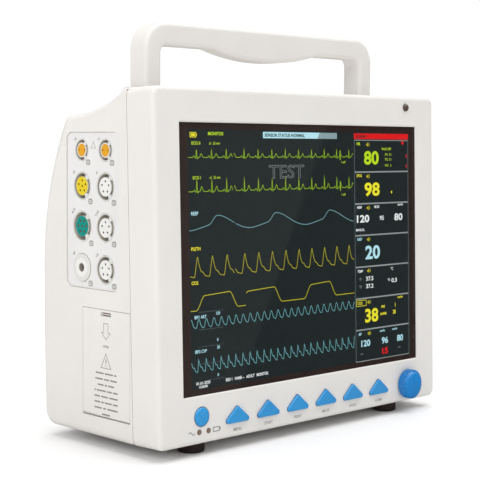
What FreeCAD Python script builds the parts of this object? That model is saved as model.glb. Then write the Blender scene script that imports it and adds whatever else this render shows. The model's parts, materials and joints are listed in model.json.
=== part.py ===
"""Bedside patient monitor: every piece is its own object, sized from one sheet of driving dimensions.

Axes: +X to the viewer's right, -Y out of the screen, +Z up. The origin is the centre of the footprint.
Front-panel pieces are drawn in the panel's own axes (x across, y into the case, z up the leaning face,
origin at the screen's centre) and placed by PANEL. Everything else is drawn in the case's axes.
"""
import FreeCAD, Part
import math
import os

import Sketcher
from FreeCAD import Placement, Rotation, Vector

DIMENSIONS = {
    # case
    "width": 312, "face_height": 255, "case_depth": 135, "seam_depth": 28.5, "seam_gap": 0.5,
    "wall": 2.6, "corner_radius": 6, "face_edge": 3.5, "lean": 1.74, "foot_height": 8.2,
    "screen_rise": 132.2, "tongue": 1.25, "tongue_reach": 2.2, "fit_gap": 0.15,
    "shelf_start": 37.5, "shelf_end": 99, "shelf_drop": 18, "shelf_round": 10, "shelf_turn": 62,
    "taper_turn": 2.5, "taper_top": 95, "heel_radius": 12,
    # screen
    "window_w": 264, "window_h": 195.2, "window_rise": 0.4, "window_chamfer": 0.9, "lip": 1.2,
    "gasket_t": 0.3, "gasket_w": 2.5, "glass_t": 1.5, "glass_lap": 3, "face_t": 4.5,
    "active_w": 246, "active_h": 184.5, "lcd_w": 262, "lcd_h": 199, "lcd_t": 8, "sheet_t": 1,
    "bracket_lift": 0.4, "bracket_ear": 14,
    # keys
    "key_pitch": 32.25, "key_base": 29, "key_rise": 12.5, "key_drop": 121.3, "key_proud": 2,
    "key_round": 2, "key_gap": 0.35, "flange_t": 1, "flange_w": 1.5, "key_stem": 0.6,
    "power_x": 115.7, "power_drop": 112.4, "power_radius": 6.9, "led_drop": 123.3, "led_radius": 2,
    "led_left": 118.3, "led_right": 109.3, "board_t": 1.6, "board_depth": 10.4, "switch_t": 3,
    "keypad_w": 262, "keypad_h": 24, "keypad_drop": 117, "post_radius": 2.4,
    # dial
    "dial_x": 118, "dial_drop": 117.4, "dial_radius": 12.2, "dial_reach": 9, "dial_gap": 0.9,
    "shaft_radius": 3, "running_gap": 0.05, "bushing_radius": 3.8,
    "encoder_size": 12.4, "encoder_t": 5.4, "flute_radius": 0.8, "flute_count": 30,
    # status lens
    "lens_x": 118.5, "lens_rise": 113.8, "lens_radius": 3.3, "lens_proud": 2.6,
    # side ports
    "port_low": 117.3, "port_high": 231.9, "port_near": 40.5, "port_far": 103, "port_sink": 1.2,
    "port_corner": 6, "port_plate_t": 2.6, "socket_depth": 21, "slot_depth": 6,
    "hose_bore": 3.3,
    # side doors
    "door_t": 2.6, "door_gap": 0.35, "door_near": 28.6, "door_far": 83, "door_low": 23.9,
    "door_high": 103.3, "pin_r": 1.2, "pin_length": 10, "pin_hold": 2.2,
    "bay_reach": 92, "bay_wall": 1.8, "pack_gap": 1, "pack_length": 84,
    "rec_near": 45, "rec_far": 103, "rec_low": 118, "rec_high": 196, "rec_reach": 50,
    "roll_radius": 17, "roll_core": 6, "platen_radius": 4, "platen_core": 1.5,
    # handle
    "handle_w": 252, "handle_leg": 15.4, "handle_t": 19.6, "handle_bar": 16.5, "handle_rise": 49.418,
    "handle_y": 56.6, "hinge_drop": 4.082, "handle_round": 20, "handle_inner": 6, "handle_edge": 3.2,
    "grip_half": 58, "grip_drop": 8, "hinge_pin": 2.5, "well_gap": 1, "lug_w": 9, "lug_radius": 6,
    # feet
    "foot_x": 110, "foot_front": 14.4, "foot_rear": 112, "foot_radius": 10, "foot_sink": 1.2,
    # rear
    "bay_x": 50, "bay_w": 170, "bay_low": 26, "bay_high": 80, "bay_sink": 7, "plate_t": 1.2,
    "screw_x": 146, "screw_low": 18.5, "screw_high": 231.5, "screw_radius": 1.9, "column_radius": 4.5,
    "head_radius": 3.4, "head_t": 2.4, "head_sink": 9,
    "insert_pitch": 75, "insert_y": 78, "insert_radius": 3, "insert_bore": 2, "insert_t": 8,
    "label_x": 62, "label_w": 78, "label_h": 30, "label_z": 112, "label_t": 0.8,
    "vent_w": 2.4, "vent_pitch": 6.5, "vent_h": 42, "vent_z": 172,
    # boards
    "main_y": 40, "main_w": 184, "main_low": 108, "main_high": 240, "chassis_y": 48, "chassis_t": 1.2,
    "power_z": 24,
}


def tilt(depth, rise):
    """Case-frame (y, z) of a panel point, before the front plane's own place is added."""
    angle = math.radians(DIMENSIONS["lean"])
    back = depth * math.cos(angle) + rise * math.sin(angle)
    up = rise * math.cos(angle) - depth * math.sin(angle)
    return back, up


def derived_dimensions():
    """Places that follow from the driving dimensions."""
    d = DIMENSIONS
    dial_tip = tilt(-d["dial_reach"], -d["dial_drop"])[0]
    below = tilt(d["seam_depth"], -d["screen_rise"])[1]
    above = tilt(d["seam_depth"], d["face_height"] - d["screen_rise"])[1]
    case_top = d["foot_height"] - below + above
    return {
        "front": -(d["case_depth"] + dial_tip) / 2,
        "screen_z": d["foot_height"] - below,
        "case_top": case_top,
        "hinge_z": case_top - d["hinge_drop"],
        "handle_top": case_top + d["handle_rise"],
        "lean_slope": math.tan(math.radians(d["lean"])),
    }


DIMENSIONS.update(derived_dimensions())

doc = FreeCAD.newDocument("PatientMonitor")
sheet = doc.addObject("Spreadsheet::Sheet", "dims")
for row, (alias, amount) in enumerate(DIMENSIONS.items(), 1):
    sheet.set(f"A{row}", alias)
    sheet.set(f"B{row}", str(round(amount, 6)))
    sheet.setAlias(f"B{row}", alias)
doc.recompute()

NODES = []
PANEL = Placement(
    Vector(0, DIMENSIONS["front"], DIMENSIONS["screen_z"]),
    Rotation(Vector(1, 0, 0), -DIMENSIONS["lean"])
)
CASE = Placement()
SIDE = "dims.width / 2"
INNER_SIDE = "(dims.width / 2 - dims.wall)"
FRONT = "dims.front"
REAR = "(dims.front + dims.case_depth)"
FLOOR = "(dims.foot_height + dims.wall)"
TURN = {"x": Rotation(Vector(0, 1, 0), 90), "y": Rotation(Vector(1, 0, 0), -90), "z": Rotation()}


# ---- small kit -------------------------------------------------------------------------------------


def value(expression):
    """The number that a sheet expression comes to."""
    return float(sheet.evalExpression(str(expression)))


def bind(obj, prop, expression):
    obj.setExpression(prop, str(expression))


def place(obj, at):
    for axis, expression in zip("xyz", at):
        bind(obj, "Placement.Base." + axis, expression)
    return obj


def span(name, x, y, z):
    """A box from the low to the high expression on each axis."""
    box = doc.addObject("Part::Box", name)
    for prop, (low, high) in zip(("Length", "Width", "Height"), (x, y, z)):
        bind(box, prop, f"({high}) - ({low})")
    return place(box, (x[0], y[0], z[0]))


def about(middle, size):
    """The span of a size centred on a middle."""
    return (f"({middle}) - ({size}) / 2", f"({middle}) + ({size}) / 2")


def rod(name, radius, start, length, axis):
    """A cylinder from a start point along an axis."""
    cylinder = doc.addObject("Part::Cylinder", name)
    bind(cylinder, "Radius", radius)
    bind(cylinder, "Height", length)
    cylinder.Placement = Placement(Vector(), TURN[axis])
    return place(cylinder, start)


def tube(name, outer, inner, start, length, axis):
    return cut(name, rod(name + "_outer", outer, start, length, axis),
               [rod(name + "_inner", inner, start, length, axis)])


def fuse(name, pieces):
    joined = doc.addObject("Part::MultiFuse", name)
    joined.Shapes = pieces
    joined.Refine = True
    return joined


def cut(name, base, tools):
    difference = doc.addObject("Part::Cut", name)
    difference.Base = base
    difference.Tool = tools[0] if len(tools) == 1 else fuse(name + "_tools", tools)
    difference.Refine = True
    return difference


def common(name, first, second):
    overlap = doc.addObject("Part::Common", name)
    overlap.Base = first
    overlap.Tool = second
    return overlap


def group(name, pieces):
    """Separate solids that share one node."""
    together = doc.addObject("Part::Compound", name)
    together.Links = pieces
    return together


def rounded(name, base, radius, chosen):
    """A fillet on the edges of base that chosen(edge) accepts."""
    doc.recompute()
    fillet = doc.addObject("Part::Fillet", name)
    fillet.Base = base
    size = value(radius)
    fillet.Edges = [(i, size, size) for i, edge in enumerate(base.Shape.Edges, 1) if chosen(edge)]
    return fillet


def along(axis):
    """Accepts straight edges that run along an axis."""
    def chosen(edge):
        if not isinstance(edge.Curve, Part.Line):
            return False
        return abs(getattr(edge.Curve.Direction, axis)) > 0.999
    return chosen


def node(obj, label, frame=CASE):
    """Name a finished sub-part and put it in its frame."""
    obj.Label = label
    if frame is not CASE:
        obj.Placement = frame
    NODES.append(obj)
    return obj


def origin_plane(body, role):
    return next(feature for feature in body.Origin.OriginFeatures if feature.Role == role)


def sketch_on(body, role, name):
    sketch = body.newObject("Sketcher::SketchObject", name)
    sketch.AttachmentSupport = [(origin_plane(body, role), "")]
    sketch.MapMode = "FlatFace"
    return sketch


def outline(sketch, corners):
    """A closed polygon whose corners are bound to pairs of sheet expressions."""
    places = [(value(a), value(b)) for a, b in corners]
    first = sketch.GeometryCount
    count = len(places)
    for i, (a, b) in enumerate(places):
        end = places[(i + 1) % count]
        sketch.addGeometry(Part.LineSegment(Vector(a, b, 0), Vector(*end, 0)), False)
    for i in range(count):
        sketch.addConstraint(Sketcher.Constraint("Coincident", first + i, 2, first + (i + 1) % count, 1))
    for i, pair in enumerate(zip(places[i], corners[i]) for i in range(count)):
        for kind, axis_line, (number, expression) in zip(("DistanceX", "DistanceY"), (-2, -1), pair):
            if abs(number) < 1e-9:
                sketch.addConstraint(Sketcher.Constraint("PointOnObject", first + i, 1, axis_line))
                continue
            index = sketch.addConstraint(Sketcher.Constraint(kind, -1, 1, first + i, 1, number))
            bind(sketch, f"Constraints[{index}]", expression)


def turned(name, corners, role="XZ_Plane"):
    """A body revolved about its upright axis from (radius, height) corners."""
    body = doc.addObject("PartDesign::Body", name)
    sketch = sketch_on(body, role, name + "_profile")
    outline(sketch, corners)
    spin = body.newObject("PartDesign::Revolution", name + "_turn")
    spin.Profile = sketch
    spin.ReferenceAxis = (sketch, ["V_Axis"])
    spin.Angle = 360
    return body


def screw(name, at, axis, shank_radius, length, head_radius, head_t):
    """A pan-head screw with a cross recess: at is the head's outer face, the shank runs along axis."""
    unit = {"x": (1, 0, 0), "y": (0, 1, 0), "z": (0, 0, 1)}[axis]
    under = [f"({p}) + ({head_t}) * {u}" for p, u in zip(at, unit)]
    head = rod(name + "_head", head_radius, at, head_t, axis)
    shank = rod(name + "_shank", shank_radius, under, length, axis)
    slots = []
    for k in range(2):
        size = {"x": 0, "y": 0, "z": 0}
        across = [a for a in "xyz" if a != axis]
        size[across[k]] = f"({head_radius}) * 1.1"
        size[across[1 - k]] = "0.7"
        size[axis] = f"({head_t}) * 1.2"
        slots.append(span(f"{name}_slot{k}", *(about(p, size[a]) for p, a in zip(at, "xyz"))))
    return cut(name, fuse(name + "_blank", [head, shank]), slots)


# ---- front housing ---------------------------------------------------------------------------------


def key_places():
    """Panel x of each of the six keys, from the left."""
    return [f"dims.key_pitch * {k - 2.5}" for k in range(6)]


def triangle_body(name, x, grow, near, far):
    """A rounded triangle prism on the panel, from depth near to far, grown all round by grow."""
    body = doc.addObject("PartDesign::Body", name)
    sketch = sketch_on(body, "XZ_Plane", name + "_outline")
    side = f"(dims.key_base / 2 + ({grow}) * 2.4)"
    low = f"(-dims.key_drop - ({grow}))"
    top = f"(-dims.key_drop + dims.key_rise + ({grow}) * 1.35)"
    outline(sketch, [(f"{x} - {side}", low), (f"{x} + {side}", low), (f"{x} + 0.001", top)])
    pad = body.newObject("PartDesign::Pad", name + "_pad")
    pad.Profile = sketch
    pad.Reversed = True
    bind(pad, "Length", f"({far}) - ({near})")
    bind(body, "Placement.Base.y", near)
    doc.recompute()
    corners = body.newObject("PartDesign::Fillet", name + "_corners")
    corners.Base = (pad, [f"Edge{i}" for i, e in enumerate(pad.Shape.Edges, 1) if along("y")(e)])
    bind(corners, "Radius", f"dims.key_round + ({grow})")
    return body


def housing_shell():
    """The moulded front: a rounded box, hollow from behind, with the window and its glass seat."""
    body = doc.addObject("PartDesign::Body", "front_shell")
    half_w = "dims.width / 2"
    low = "-dims.screen_rise"
    high = "(dims.face_height - dims.screen_rise)"

    def ring(sketch, inset):
        outline(sketch, [(f"-{half_w} + {inset}", f"{low} + {inset}"),
                         (f"{half_w} - {inset}", f"{low} + {inset}"),
                         (f"{half_w} - {inset}", f"{high} - {inset}"),
                         (f"-{half_w} + {inset}", f"{high} - {inset}")])

    def window(sketch, grow):
        side = f"(dims.window_w / 2 + {grow})"
        rise = f"(dims.window_h / 2 + {grow})"
        middle = "dims.window_rise"
        outline(sketch, [(f"-{side}", f"{middle} - {rise}"), (side, f"{middle} - {rise}"),
                         (side, f"{middle} + {rise}"), (f"-{side}", f"{middle} + {rise}")])

    def pocket(name, draw, amount, depth, start):
        sketch = sketch_on(body, "XZ_Plane", name + "_outline")
        draw(sketch, amount)
        bind(sketch, "AttachmentOffset.Base.z", f"-({start})")
        hole = body.newObject("PartDesign::Pocket", name)
        hole.Profile = sketch
        hole.Reversed = False
        bind(hole, "Length", depth)
        doc.recompute()
        if hole.Shape.Volume >= hole.BaseFeature.Shape.Volume - 1:
            hole.Reversed = True
        return hole

    block_sketch = sketch_on(body, "XZ_Plane", "front_outline")
    ring(block_sketch, "0")
    pad = body.newObject("PartDesign::Pad", "front_pad")
    pad.Profile = block_sketch
    pad.Reversed = True
    bind(pad, "Length", "dims.seam_depth")
    doc.recompute()
    corners = body.newObject("PartDesign::Fillet", "front_corners")
    corners.Base = (pad, [f"Edge{i}" for i, e in enumerate(pad.Shape.Edges, 1) if along("y")(e)])
    bind(corners, "Radius", "dims.corner_radius")
    doc.recompute()
    faces = enumerate(corners.Shape.Faces, 1)
    front_face = min(faces, key=lambda item: item[1].CenterOfMass.y)[0]
    edge = body.newObject("PartDesign::Fillet", "front_edge")
    edge.Base = (corners, [f"Face{front_face}"])
    bind(edge, "Radius", "dims.face_edge")
    doc.recompute()
    pocket("front_hollow", ring, "dims.wall", "dims.seam_depth - dims.face_t", "dims.face_t")
    pocket("front_window", window, "0", "dims.face_t + 1", "-1")
    pocket("front_seat", window, "dims.glass_lap + dims.fit_gap", "dims.face_t - dims.lip", "dims.lip")
    return body


def tongue_ring():
    """The rim that registers the rear case on the front housing."""
    inset = "(dims.wall - dims.tongue)"
    low, high = "-dims.screen_rise", "(dims.face_height - dims.screen_rise)"
    depth = ("dims.seam_depth - 1", "dims.seam_depth + dims.tongue_reach")
    outer = span("tongue_outer", (f"-{SIDE} + {inset}", f"{SIDE} - {inset}"), depth,
                 (f"{low} + {inset}", f"{high} - {inset}"))
    outer = rounded("tongue_round", outer, "dims.corner_radius - dims.wall + dims.tongue", along("y"))
    inner = span("tongue_inner", (f"-{INNER_SIDE}", INNER_SIDE),
                 ("dims.seam_depth - 2", "dims.seam_depth + dims.tongue_reach + 1"),
                 (f"{low} + dims.wall", f"{high} - dims.wall"))
    notch = span("tongue_notch", (f"-{SIDE} - 1", f"-{INNER_SIDE} + 1"),
                 ("dims.seam_depth + 0.1", "dims.seam_depth + dims.tongue_reach + 1"),
                 ("dims.door_low - dims.screen_z - 8", "dims.door_high - dims.screen_z + 4"))
    return cut("tongue_rim", outer, [inner, notch])


def window_chamfer():
    """A pyramid-shaped cutter that bevels the window's front edge."""
    width, height, bevel = (value("dims." + a) for a in ("window_w", "window_h", "window_chamfer"))
    middle = value("dims.window_rise")

    def frame(grow, depth):
        a, b = width / 2 + grow, height / 2 + grow
        corners = [(-a, -b), (a, -b), (a, b), (-a, b), (-a, -b)]
        return Part.makePolygon([Vector(x, depth, z + middle) for x, z in corners])

    cutter = doc.addObject("Part::Feature", "window_bevel")
    cutter.Shape = Part.makeLoft([frame(bevel + 0.5, -0.5), frame(0, bevel)], True)
    return cutter


def front_holes():
    """Every hole through the face: keys, power button, lamps, dial bushing and status lens."""
    through = ("-1", "dims.face_t + 1")
    depth = "dims.face_t + 2"
    tools = [triangle_body(f"key_hole_{k + 1}", x, "dims.key_gap",
                           *through) for k, x in enumerate(key_places())]
    rounds = {
        "power_hole": ("-dims.power_x", "-dims.power_drop", "dims.power_radius + dims.key_gap"),
        "led_hole_left": ("-dims.led_left", "-dims.led_drop", "dims.led_radius + 0.1"),
        "led_hole_right": ("-dims.led_right", "-dims.led_drop", "dims.led_radius + 0.1"),
        "dial_hole": ("dims.dial_x", "-dims.dial_drop", "dims.bushing_radius + 0.3"),
        "lens_hole": ("dims.lens_x", "dims.lens_rise", "dims.lens_radius + 0.1"),
    }
    for name, (x, z, radius) in rounds.items():
        tools.append(rod(name, radius, (x, "-1", z), depth, "y"))
    return tools


def boss_places():
    """Panel places of the four bosses that carry the display bracket."""
    side = "(dims.lcd_w / 2 + dims.sheet_t + dims.bracket_lift + dims.bracket_ear / 2)"
    return [(f"{side} * {sx}", f"dims.lcd_h * {share}") for sx in (-1, 1) for share in (-0.32, 0.32)]


def back_of_display():
    return "(dims.lip + dims.gasket_t + dims.glass_t + dims.bracket_lift + dims.lcd_t)"


def front_housing():
    shell = housing_shell()
    posts, holes = [], [window_chamfer()]
    for k, (x, z) in enumerate(boss_places()):
        start = (x, "dims.face_t - 0.5", z)
        length = f"{back_of_display()} - dims.face_t + 0.5"
        posts.append(rod(f"bracket_boss_{k + 1}", "4", start, length, "y"))
        holes.append(rod(f"bracket_boss_hole_{k + 1}", "1.3", start, f"{length} + 1", "y"))
    for k in (-2, 0, 2):
        start = (f"dims.key_pitch * {k}", "dims.face_t - 0.5", "-dims.keypad_drop - 9")
        posts.append(rod(f"keypad_post_{k + 3}", "dims.post_radius", start,
                         "dims.board_depth - dims.face_t + 0.5", "y"))
    front = fuse("front_blank", [shell, tongue_ring()] + posts)
    front = cut("front_panel", front, holes + front_holes())
    front.Placement = PANEL
    bosses, bores = [], []
    for side in (-1, 1):
        x, y = f"dims.foot_x * {side}", f"{FRONT} + dims.foot_front"
        bosses.append(rod(f"front_foot_boss_{side}", "4", (x, y, f"{FLOOR} - 0.5"), "8", "z"))
        bores.append(rod(f"front_foot_seat_{side}", "dims.foot_radius + dims.fit_gap", (x, y, "0"),
                         "dims.foot_height + dims.foot_sink", "z"))
        bores.append(rod(f"front_foot_bore_{side}", "1.55", (x, y, "0"), "dims.foot_height + 9", "z"))
        for name, z in (("low", "dims.screw_low"), ("high", "dims.screw_high")):
            x = f"dims.screw_x * {side}"
            start = f"{FRONT} + dims.face_t - 1 + ({z} - dims.screen_z) * dims.lean_slope"
            bosses.append(rod(f"front_column_{name}_{side}", "dims.column_radius",
                              (x, start, z), "dims.seam_depth - dims.face_t - 3", "y"))
            bores.append(rod(f"front_column_bore_{name}_{side}", "dims.screw_radius + 0.05",
                             (x, f"{FRONT} + dims.face_t + 5", z), "dims.seam_depth", "y"))
    node(cut("front_case", fuse("front_bossed", [front] + bosses), bores), "front_housing")


# ---- screen ----------------------------------------------------------------------------------------


def window_plate(name, grow, near, far):
    side = f"dims.window_w + ({grow}) * 2"
    return span(name, about("0", side), (near, far),
                about("dims.window_rise", f"dims.window_h + ({grow}) * 2"))


def screen():
    seat = "dims.lip"
    glass_front = "dims.lip + dims.gasket_t"
    glass_back = f"{glass_front} + dims.glass_t"
    gasket = cut("gasket_ring", window_plate("gasket_blank", "dims.glass_lap", seat, glass_front),
                 [window_plate("gasket_hole", "dims.glass_lap - dims.gasket_w", f"{seat} - 1",
                               f"{glass_front} + 1")])
    node(gasket, "screen_gasket", PANEL)
    glass = rounded("glass_sheet", window_plate("glass_blank", "dims.glass_lap", glass_front,
                                                glass_back),
                    "2", along("y"))
    node(glass, "screen_glass", PANEL)
    lcd_front = f"{glass_back} + dims.bracket_lift"
    lcd_back = f"{lcd_front} + dims.lcd_t"
    module = span("lcd_module", about("0", "dims.lcd_w"), (lcd_front, lcd_back),
                  about("0", "dims.lcd_h"))
    active = span("lcd_active", about("0", "dims.active_w"), (f"{lcd_front} - 1", f"{lcd_front} + 0.4"),
                  about("0", "dims.active_h"))
    node(cut("lcd", module, [active]), "lcd_panel", PANEL)
    bracket(lcd_back)


def bracket(lcd_back):
    """The pressed-steel tray that holds the display to the housing's bosses."""
    lip = "(dims.sheet_t + dims.bracket_lift)"
    outer_w, outer_h = f"(dims.lcd_w + {lip} * 2)", f"(dims.lcd_h + {lip} * 2)"
    tray = span("bracket_tray", about("0", outer_w), (f"{lcd_back} - 5", f"{lcd_back} + dims.sheet_t"),
                about("0", outer_h))
    inside = span("bracket_inside", about("0", "dims.lcd_w + dims.bracket_lift * 2"),
                  (f"{lcd_back} - 6", lcd_back), about("0", "dims.lcd_h + dims.bracket_lift * 2"))
    window = span("bracket_window", about("0", "dims.lcd_w - 80"),
                  (f"{lcd_back} - 1", f"{lcd_back} + 3"),
                  about("0", "dims.lcd_h - 70"))
    ears, holes = [], [inside, window]
    for k, (x, z) in enumerate(boss_places()):
        ears.append(span(f"bracket_ear_{k + 1}", about(x, "dims.bracket_ear"),
                         (lcd_back, f"{lcd_back} + dims.sheet_t"), about(z, "14")))
        holes.append(rod(f"bracket_hole_{k + 1}", "1.7", (x, f"{lcd_back} - 1", z), "4", "y"))
    node(cut("bracket", fuse("bracket_blank", [tray] + ears), holes), "lcd_bracket", PANEL)


# ---- keys, lamps and lens --------------------------------------------------------------------------

KEY_NAMES = ("menu_key", "start_key", "record_key", "silence_key", "freeze_key", "main_key")
BEHIND_FACE = "(dims.face_t + 0.15)"


def keys():
    for x, label in zip(key_places(), KEY_NAMES):
        cap = triangle_body(label + "_prism", x, "0", "-dims.key_proud", f"{BEHIND_FACE} + 0.2")
        front = -value("dims.key_proud")
        cap = rounded(label + "_cap", cap, "0.7",
                      lambda e: max(abs(v.Point.y - front) for v in e.Vertexes) < 0.01)
        flange = triangle_body(label + "_flange", x, "dims.flange_w", BEHIND_FACE,
                               f"{BEHIND_FACE} + dims.flange_t")
        stem = rod(label + "_stem", "2", (x, BEHIND_FACE, "-dims.key_drop + 5"),
                   f"dims.flange_t + dims.key_stem", "y")
        node(fuse(label + "_solid", [cap, flange, stem]), label, PANEL)


def panel_turned(name, corners, x, z):
    """A revolved piece whose upright axis points into the panel at (x, z)."""
    body = turned(name, corners)
    body.Placement = PANEL.multiply(Placement(Vector(value(x), 0, value(z)),
                                              Rotation(Vector(1, 0, 0), -90)))
    NODES.append(body)
    return body


def power_button():
    radius = "dims.power_radius"
    flange = f"{radius} + dims.flange_w"
    back = f"{BEHIND_FACE} + dims.flange_t"
    corners = [("0", "-dims.key_proud + 0.2"), (f"{radius} - 2.4", "-dims.key_proud + 0.35"),
               (f"{radius} - 0.7", "-dims.key_proud + 0.8"), (radius, "-dims.key_proud + 1.6"),
               (radius, BEHIND_FACE), (flange, BEHIND_FACE), (flange, back), ("2", back),
               ("2", f"{back} + dims.key_stem"), ("0", f"{back} + dims.key_stem")]
    panel_turned("power_button", corners, "-dims.power_x", "-dims.power_drop")


def indicator_leds():
    lamps = []
    for side in ("left", "right"):
        at = [f"-dims.led_{side}", "-0.25", "-dims.led_drop"]
        stem = rod(f"led_stem_{side}", "dims.led_radius", at, "dims.board_depth + 0.2", "y")
        collar = rod(f"led_collar_{side}", "dims.led_radius + 0.6", (at[0], BEHIND_FACE, at[2]), "0.8",
                     "y")
        lamps.append(fuse(f"led_{side}", [stem, collar]))
    node(group("leds", lamps), "indicator_leds", PANEL)


def status_lens():
    radius = "dims.lens_radius"
    corners = [("0", "-dims.lens_proud"), (f"{radius} * 0.5", "-dims.lens_proud * 0.86"),
               (f"{radius} * 0.87", "-dims.lens_proud * 0.5"), (radius, "0"), (radius, BEHIND_FACE),
               (f"{radius} + 1", BEHIND_FACE), (f"{radius} + 1", f"{BEHIND_FACE} + 1.2"),
               ("0", f"{BEHIND_FACE} + 1.2")]
    panel_turned("status_lens", corners, "dims.lens_x", "dims.lens_rise")


def keypad():
    board = span("keypad_blank", about("0", "dims.keypad_w"),
                 ("dims.board_depth", "dims.board_depth + dims.board_t"),
                 about("-dims.keypad_drop", "dims.keypad_h"))
    holes = [rod(f"keypad_hole_{k}", "1.5", (f"dims.keypad_w * {k} / 2.1", "dims.board_depth - 1",
                                            "-dims.keypad_drop + 8"), "4", "y") for k in (-1, 1)]
    node(cut("keypad", board, holes), "keypad_board", PANEL)
    switches = []
    sites = [(x, "-dims.key_drop + 5") for x in key_places()] + [("-dims.power_x", "-dims.power_drop")]
    for k, (x, z) in enumerate(sites):
        base = span(f"switch_base_{k + 1}", about(x, "6"), ("dims.board_depth - 2", "dims.board_depth"),
                    about(z, "6"))
        tip = rod(f"switch_tip_{k + 1}", "1.6", (x, "dims.board_depth - dims.switch_t", z), "1.5", "y")
        switches.append(fuse(f"switch_{k + 1}", [base, tip]))
    node(group("switches", switches), "tact_switches", PANEL)


# ---- dial ------------------------------------------------------------------------------------------


def dial():
    radius = "dims.dial_radius"
    bore = "dims.shaft_radius"
    base, tip = "-dims.dial_gap", "-dims.dial_reach"
    corners = [(bore, base), (radius, base), (radius, f"{tip} + 3"),
               (f"{radius} * 0.95", f"{tip} + 1.6"),
               (f"{radius} * 0.8", f"{tip} + 0.7"), (f"{radius} * 0.45", f"{tip} + 0.1"), ("0", tip),
               ("0", f"{tip} + 2"), (bore, f"{tip} + 2")]
    body = panel_turned("knob", corners, "dims.dial_x", "-dims.dial_drop")
    flute = sketch_on(body, "XY_Plane", "flute_outline")
    flute.addGeometry(Part.Circle(Vector(value(radius), 0, 0), Vector(0, 0, 1),
                                  value("dims.flute_radius")), False)
    flute.addConstraint(Sketcher.Constraint("PointOnObject", 0, 3, -1))
    for kind, ends, expression in (("DistanceX", (-1, 1, 0, 3), f"{radius} + 0.45"),
                                   ("Radius", (0,), "dims.flute_radius")):
        index = flute.addConstraint(Sketcher.Constraint(kind, *ends, value(expression)))
        bind(flute, f"Constraints[{index}]", expression)
    bind(flute, "AttachmentOffset.Base.z", f"{base} + 0.5")
    groove = body.newObject("PartDesign::Pocket", "flute")
    groove.Profile = flute
    bind(groove, "Length", f"dims.dial_reach - dims.dial_gap - 2")
    doc.recompute()
    if groove.Shape.Volume >= groove.BaseFeature.Shape.Volume - 0.01:
        groove.Reversed = True
        doc.recompute()
    ring = body.newObject("PartDesign::PolarPattern", "flutes")
    ring.Originals = [groove]
    ring.Axis = (flute, ["N_Axis"])
    ring.Angle = 360
    bind(ring, "Occurrences", "dims.flute_count")
    body.Tip = ring

    shaft_end = f"{BEHIND_FACE} + dims.encoder_t - 2.2"
    panel_turned("encoder_shaft", [("0", f"{tip} + 2"), (bore, f"{tip} + 2"), (bore, shaft_end),
                                   ("0", shaft_end)],
                 "dims.dial_x", "-dims.dial_drop")
    panel_turned("push_plunger", [("0", f"{shaft_end} + 0.05"), ("2.6", f"{shaft_end} + 0.05"),
                                  ("2.6", f"{shaft_end} + 1"), ("0", f"{shaft_end} + 1")],
                 "dims.dial_x", "-dims.dial_drop")
    at = ("dims.dial_x", "0.4", "-dims.dial_drop")
    bushing = rod("encoder_bushing", "dims.bushing_radius", at, "dims.face_t + 2", "y")
    case = span("encoder_case", about("dims.dial_x", "dims.encoder_size"),
                (BEHIND_FACE, "dims.board_depth"),
                about("-dims.dial_drop", "dims.encoder_size"))
    bore_tool = rod("encoder_bore", f"{bore} + dims.running_gap", at, f"{shaft_end} + 1.3", "y")
    node(cut("encoder", fuse("encoder_blank", [bushing, case]), [bore_tool]), "encoder_body", PANEL)


# ---- rear case -------------------------------------------------------------------------------------


def arc_step(at, heading, radius, turn):
    """A tangent arc in the (y, z) plane. Returns the edge, its end and the new heading, in degrees."""
    way = 1 if turn > 0 else -1
    def on_circle(angle):
        start = math.radians(heading)
        end = math.radians(heading + angle)
        return (at[0] + way * radius * (math.sin(end) - math.sin(start)),
                at[1] - way * radius * (math.cos(end) - math.cos(start)))
    middle, end = on_circle(turn / 2), on_circle(turn)
    edge = Part.Arc(*(Vector(0, *p) for p in (at, middle, end))).toShape()
    return edge, end, heading + turn


def case_profile():
    """The rear case's side outline: flat top, scooped shelf, rounded shoulder, slanted back and heel."""
    d = DIMENSIONS
    front, top, floor = d["front"], d["case_top"], d["foot_height"]
    run, drop = d["shelf_end"] - d["shelf_start"], d["shelf_drop"]
    scoop = (run * run + drop * drop) / (2 * drop)
    entry = math.degrees(math.asin(run / scoop))
    start = (front, top)
    at = (front + d["shelf_start"], top)
    edges = [Part.makeLine(Vector(0, *start), Vector(0, *at))]
    edge, at, heading = arc_step(at, -entry, scoop, entry)
    edges.append(edge)
    edge, at, heading = arc_step(at, heading, d["shelf_round"], -d["shelf_turn"])
    edges.append(edge)
    reach = front + d["case_depth"] - at[0]
    back = reach / (1 - math.sin(math.radians(d["shelf_turn"])))
    edge, at, heading = arc_step(at, heading, back, d["shelf_turn"] - 90)
    edges.append(edge)
    straight = (at[0], d["taper_top"])
    edges.append(Part.makeLine(Vector(0, *at), Vector(0, *straight)))
    slant = math.radians(d["taper_turn"])
    heel_top = floor + d["heel_radius"] * (1 - math.sin(slant))
    taper = (d["taper_top"] - heel_top) / math.sin(slant)
    edge, at, heading = arc_step(straight, heading, taper, -d["taper_turn"])
    edges.append(edge)
    edge, at, heading = arc_step(at, heading, d["heel_radius"], d["taper_turn"] - 90)
    edges.append(edge)
    edges.append(Part.makeLine(Vector(0, *at), Vector(0, front, floor)))
    edges.append(Part.makeLine(Vector(0, front, floor), Vector(0, *start)))
    return Part.Wire(edges)


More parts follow.
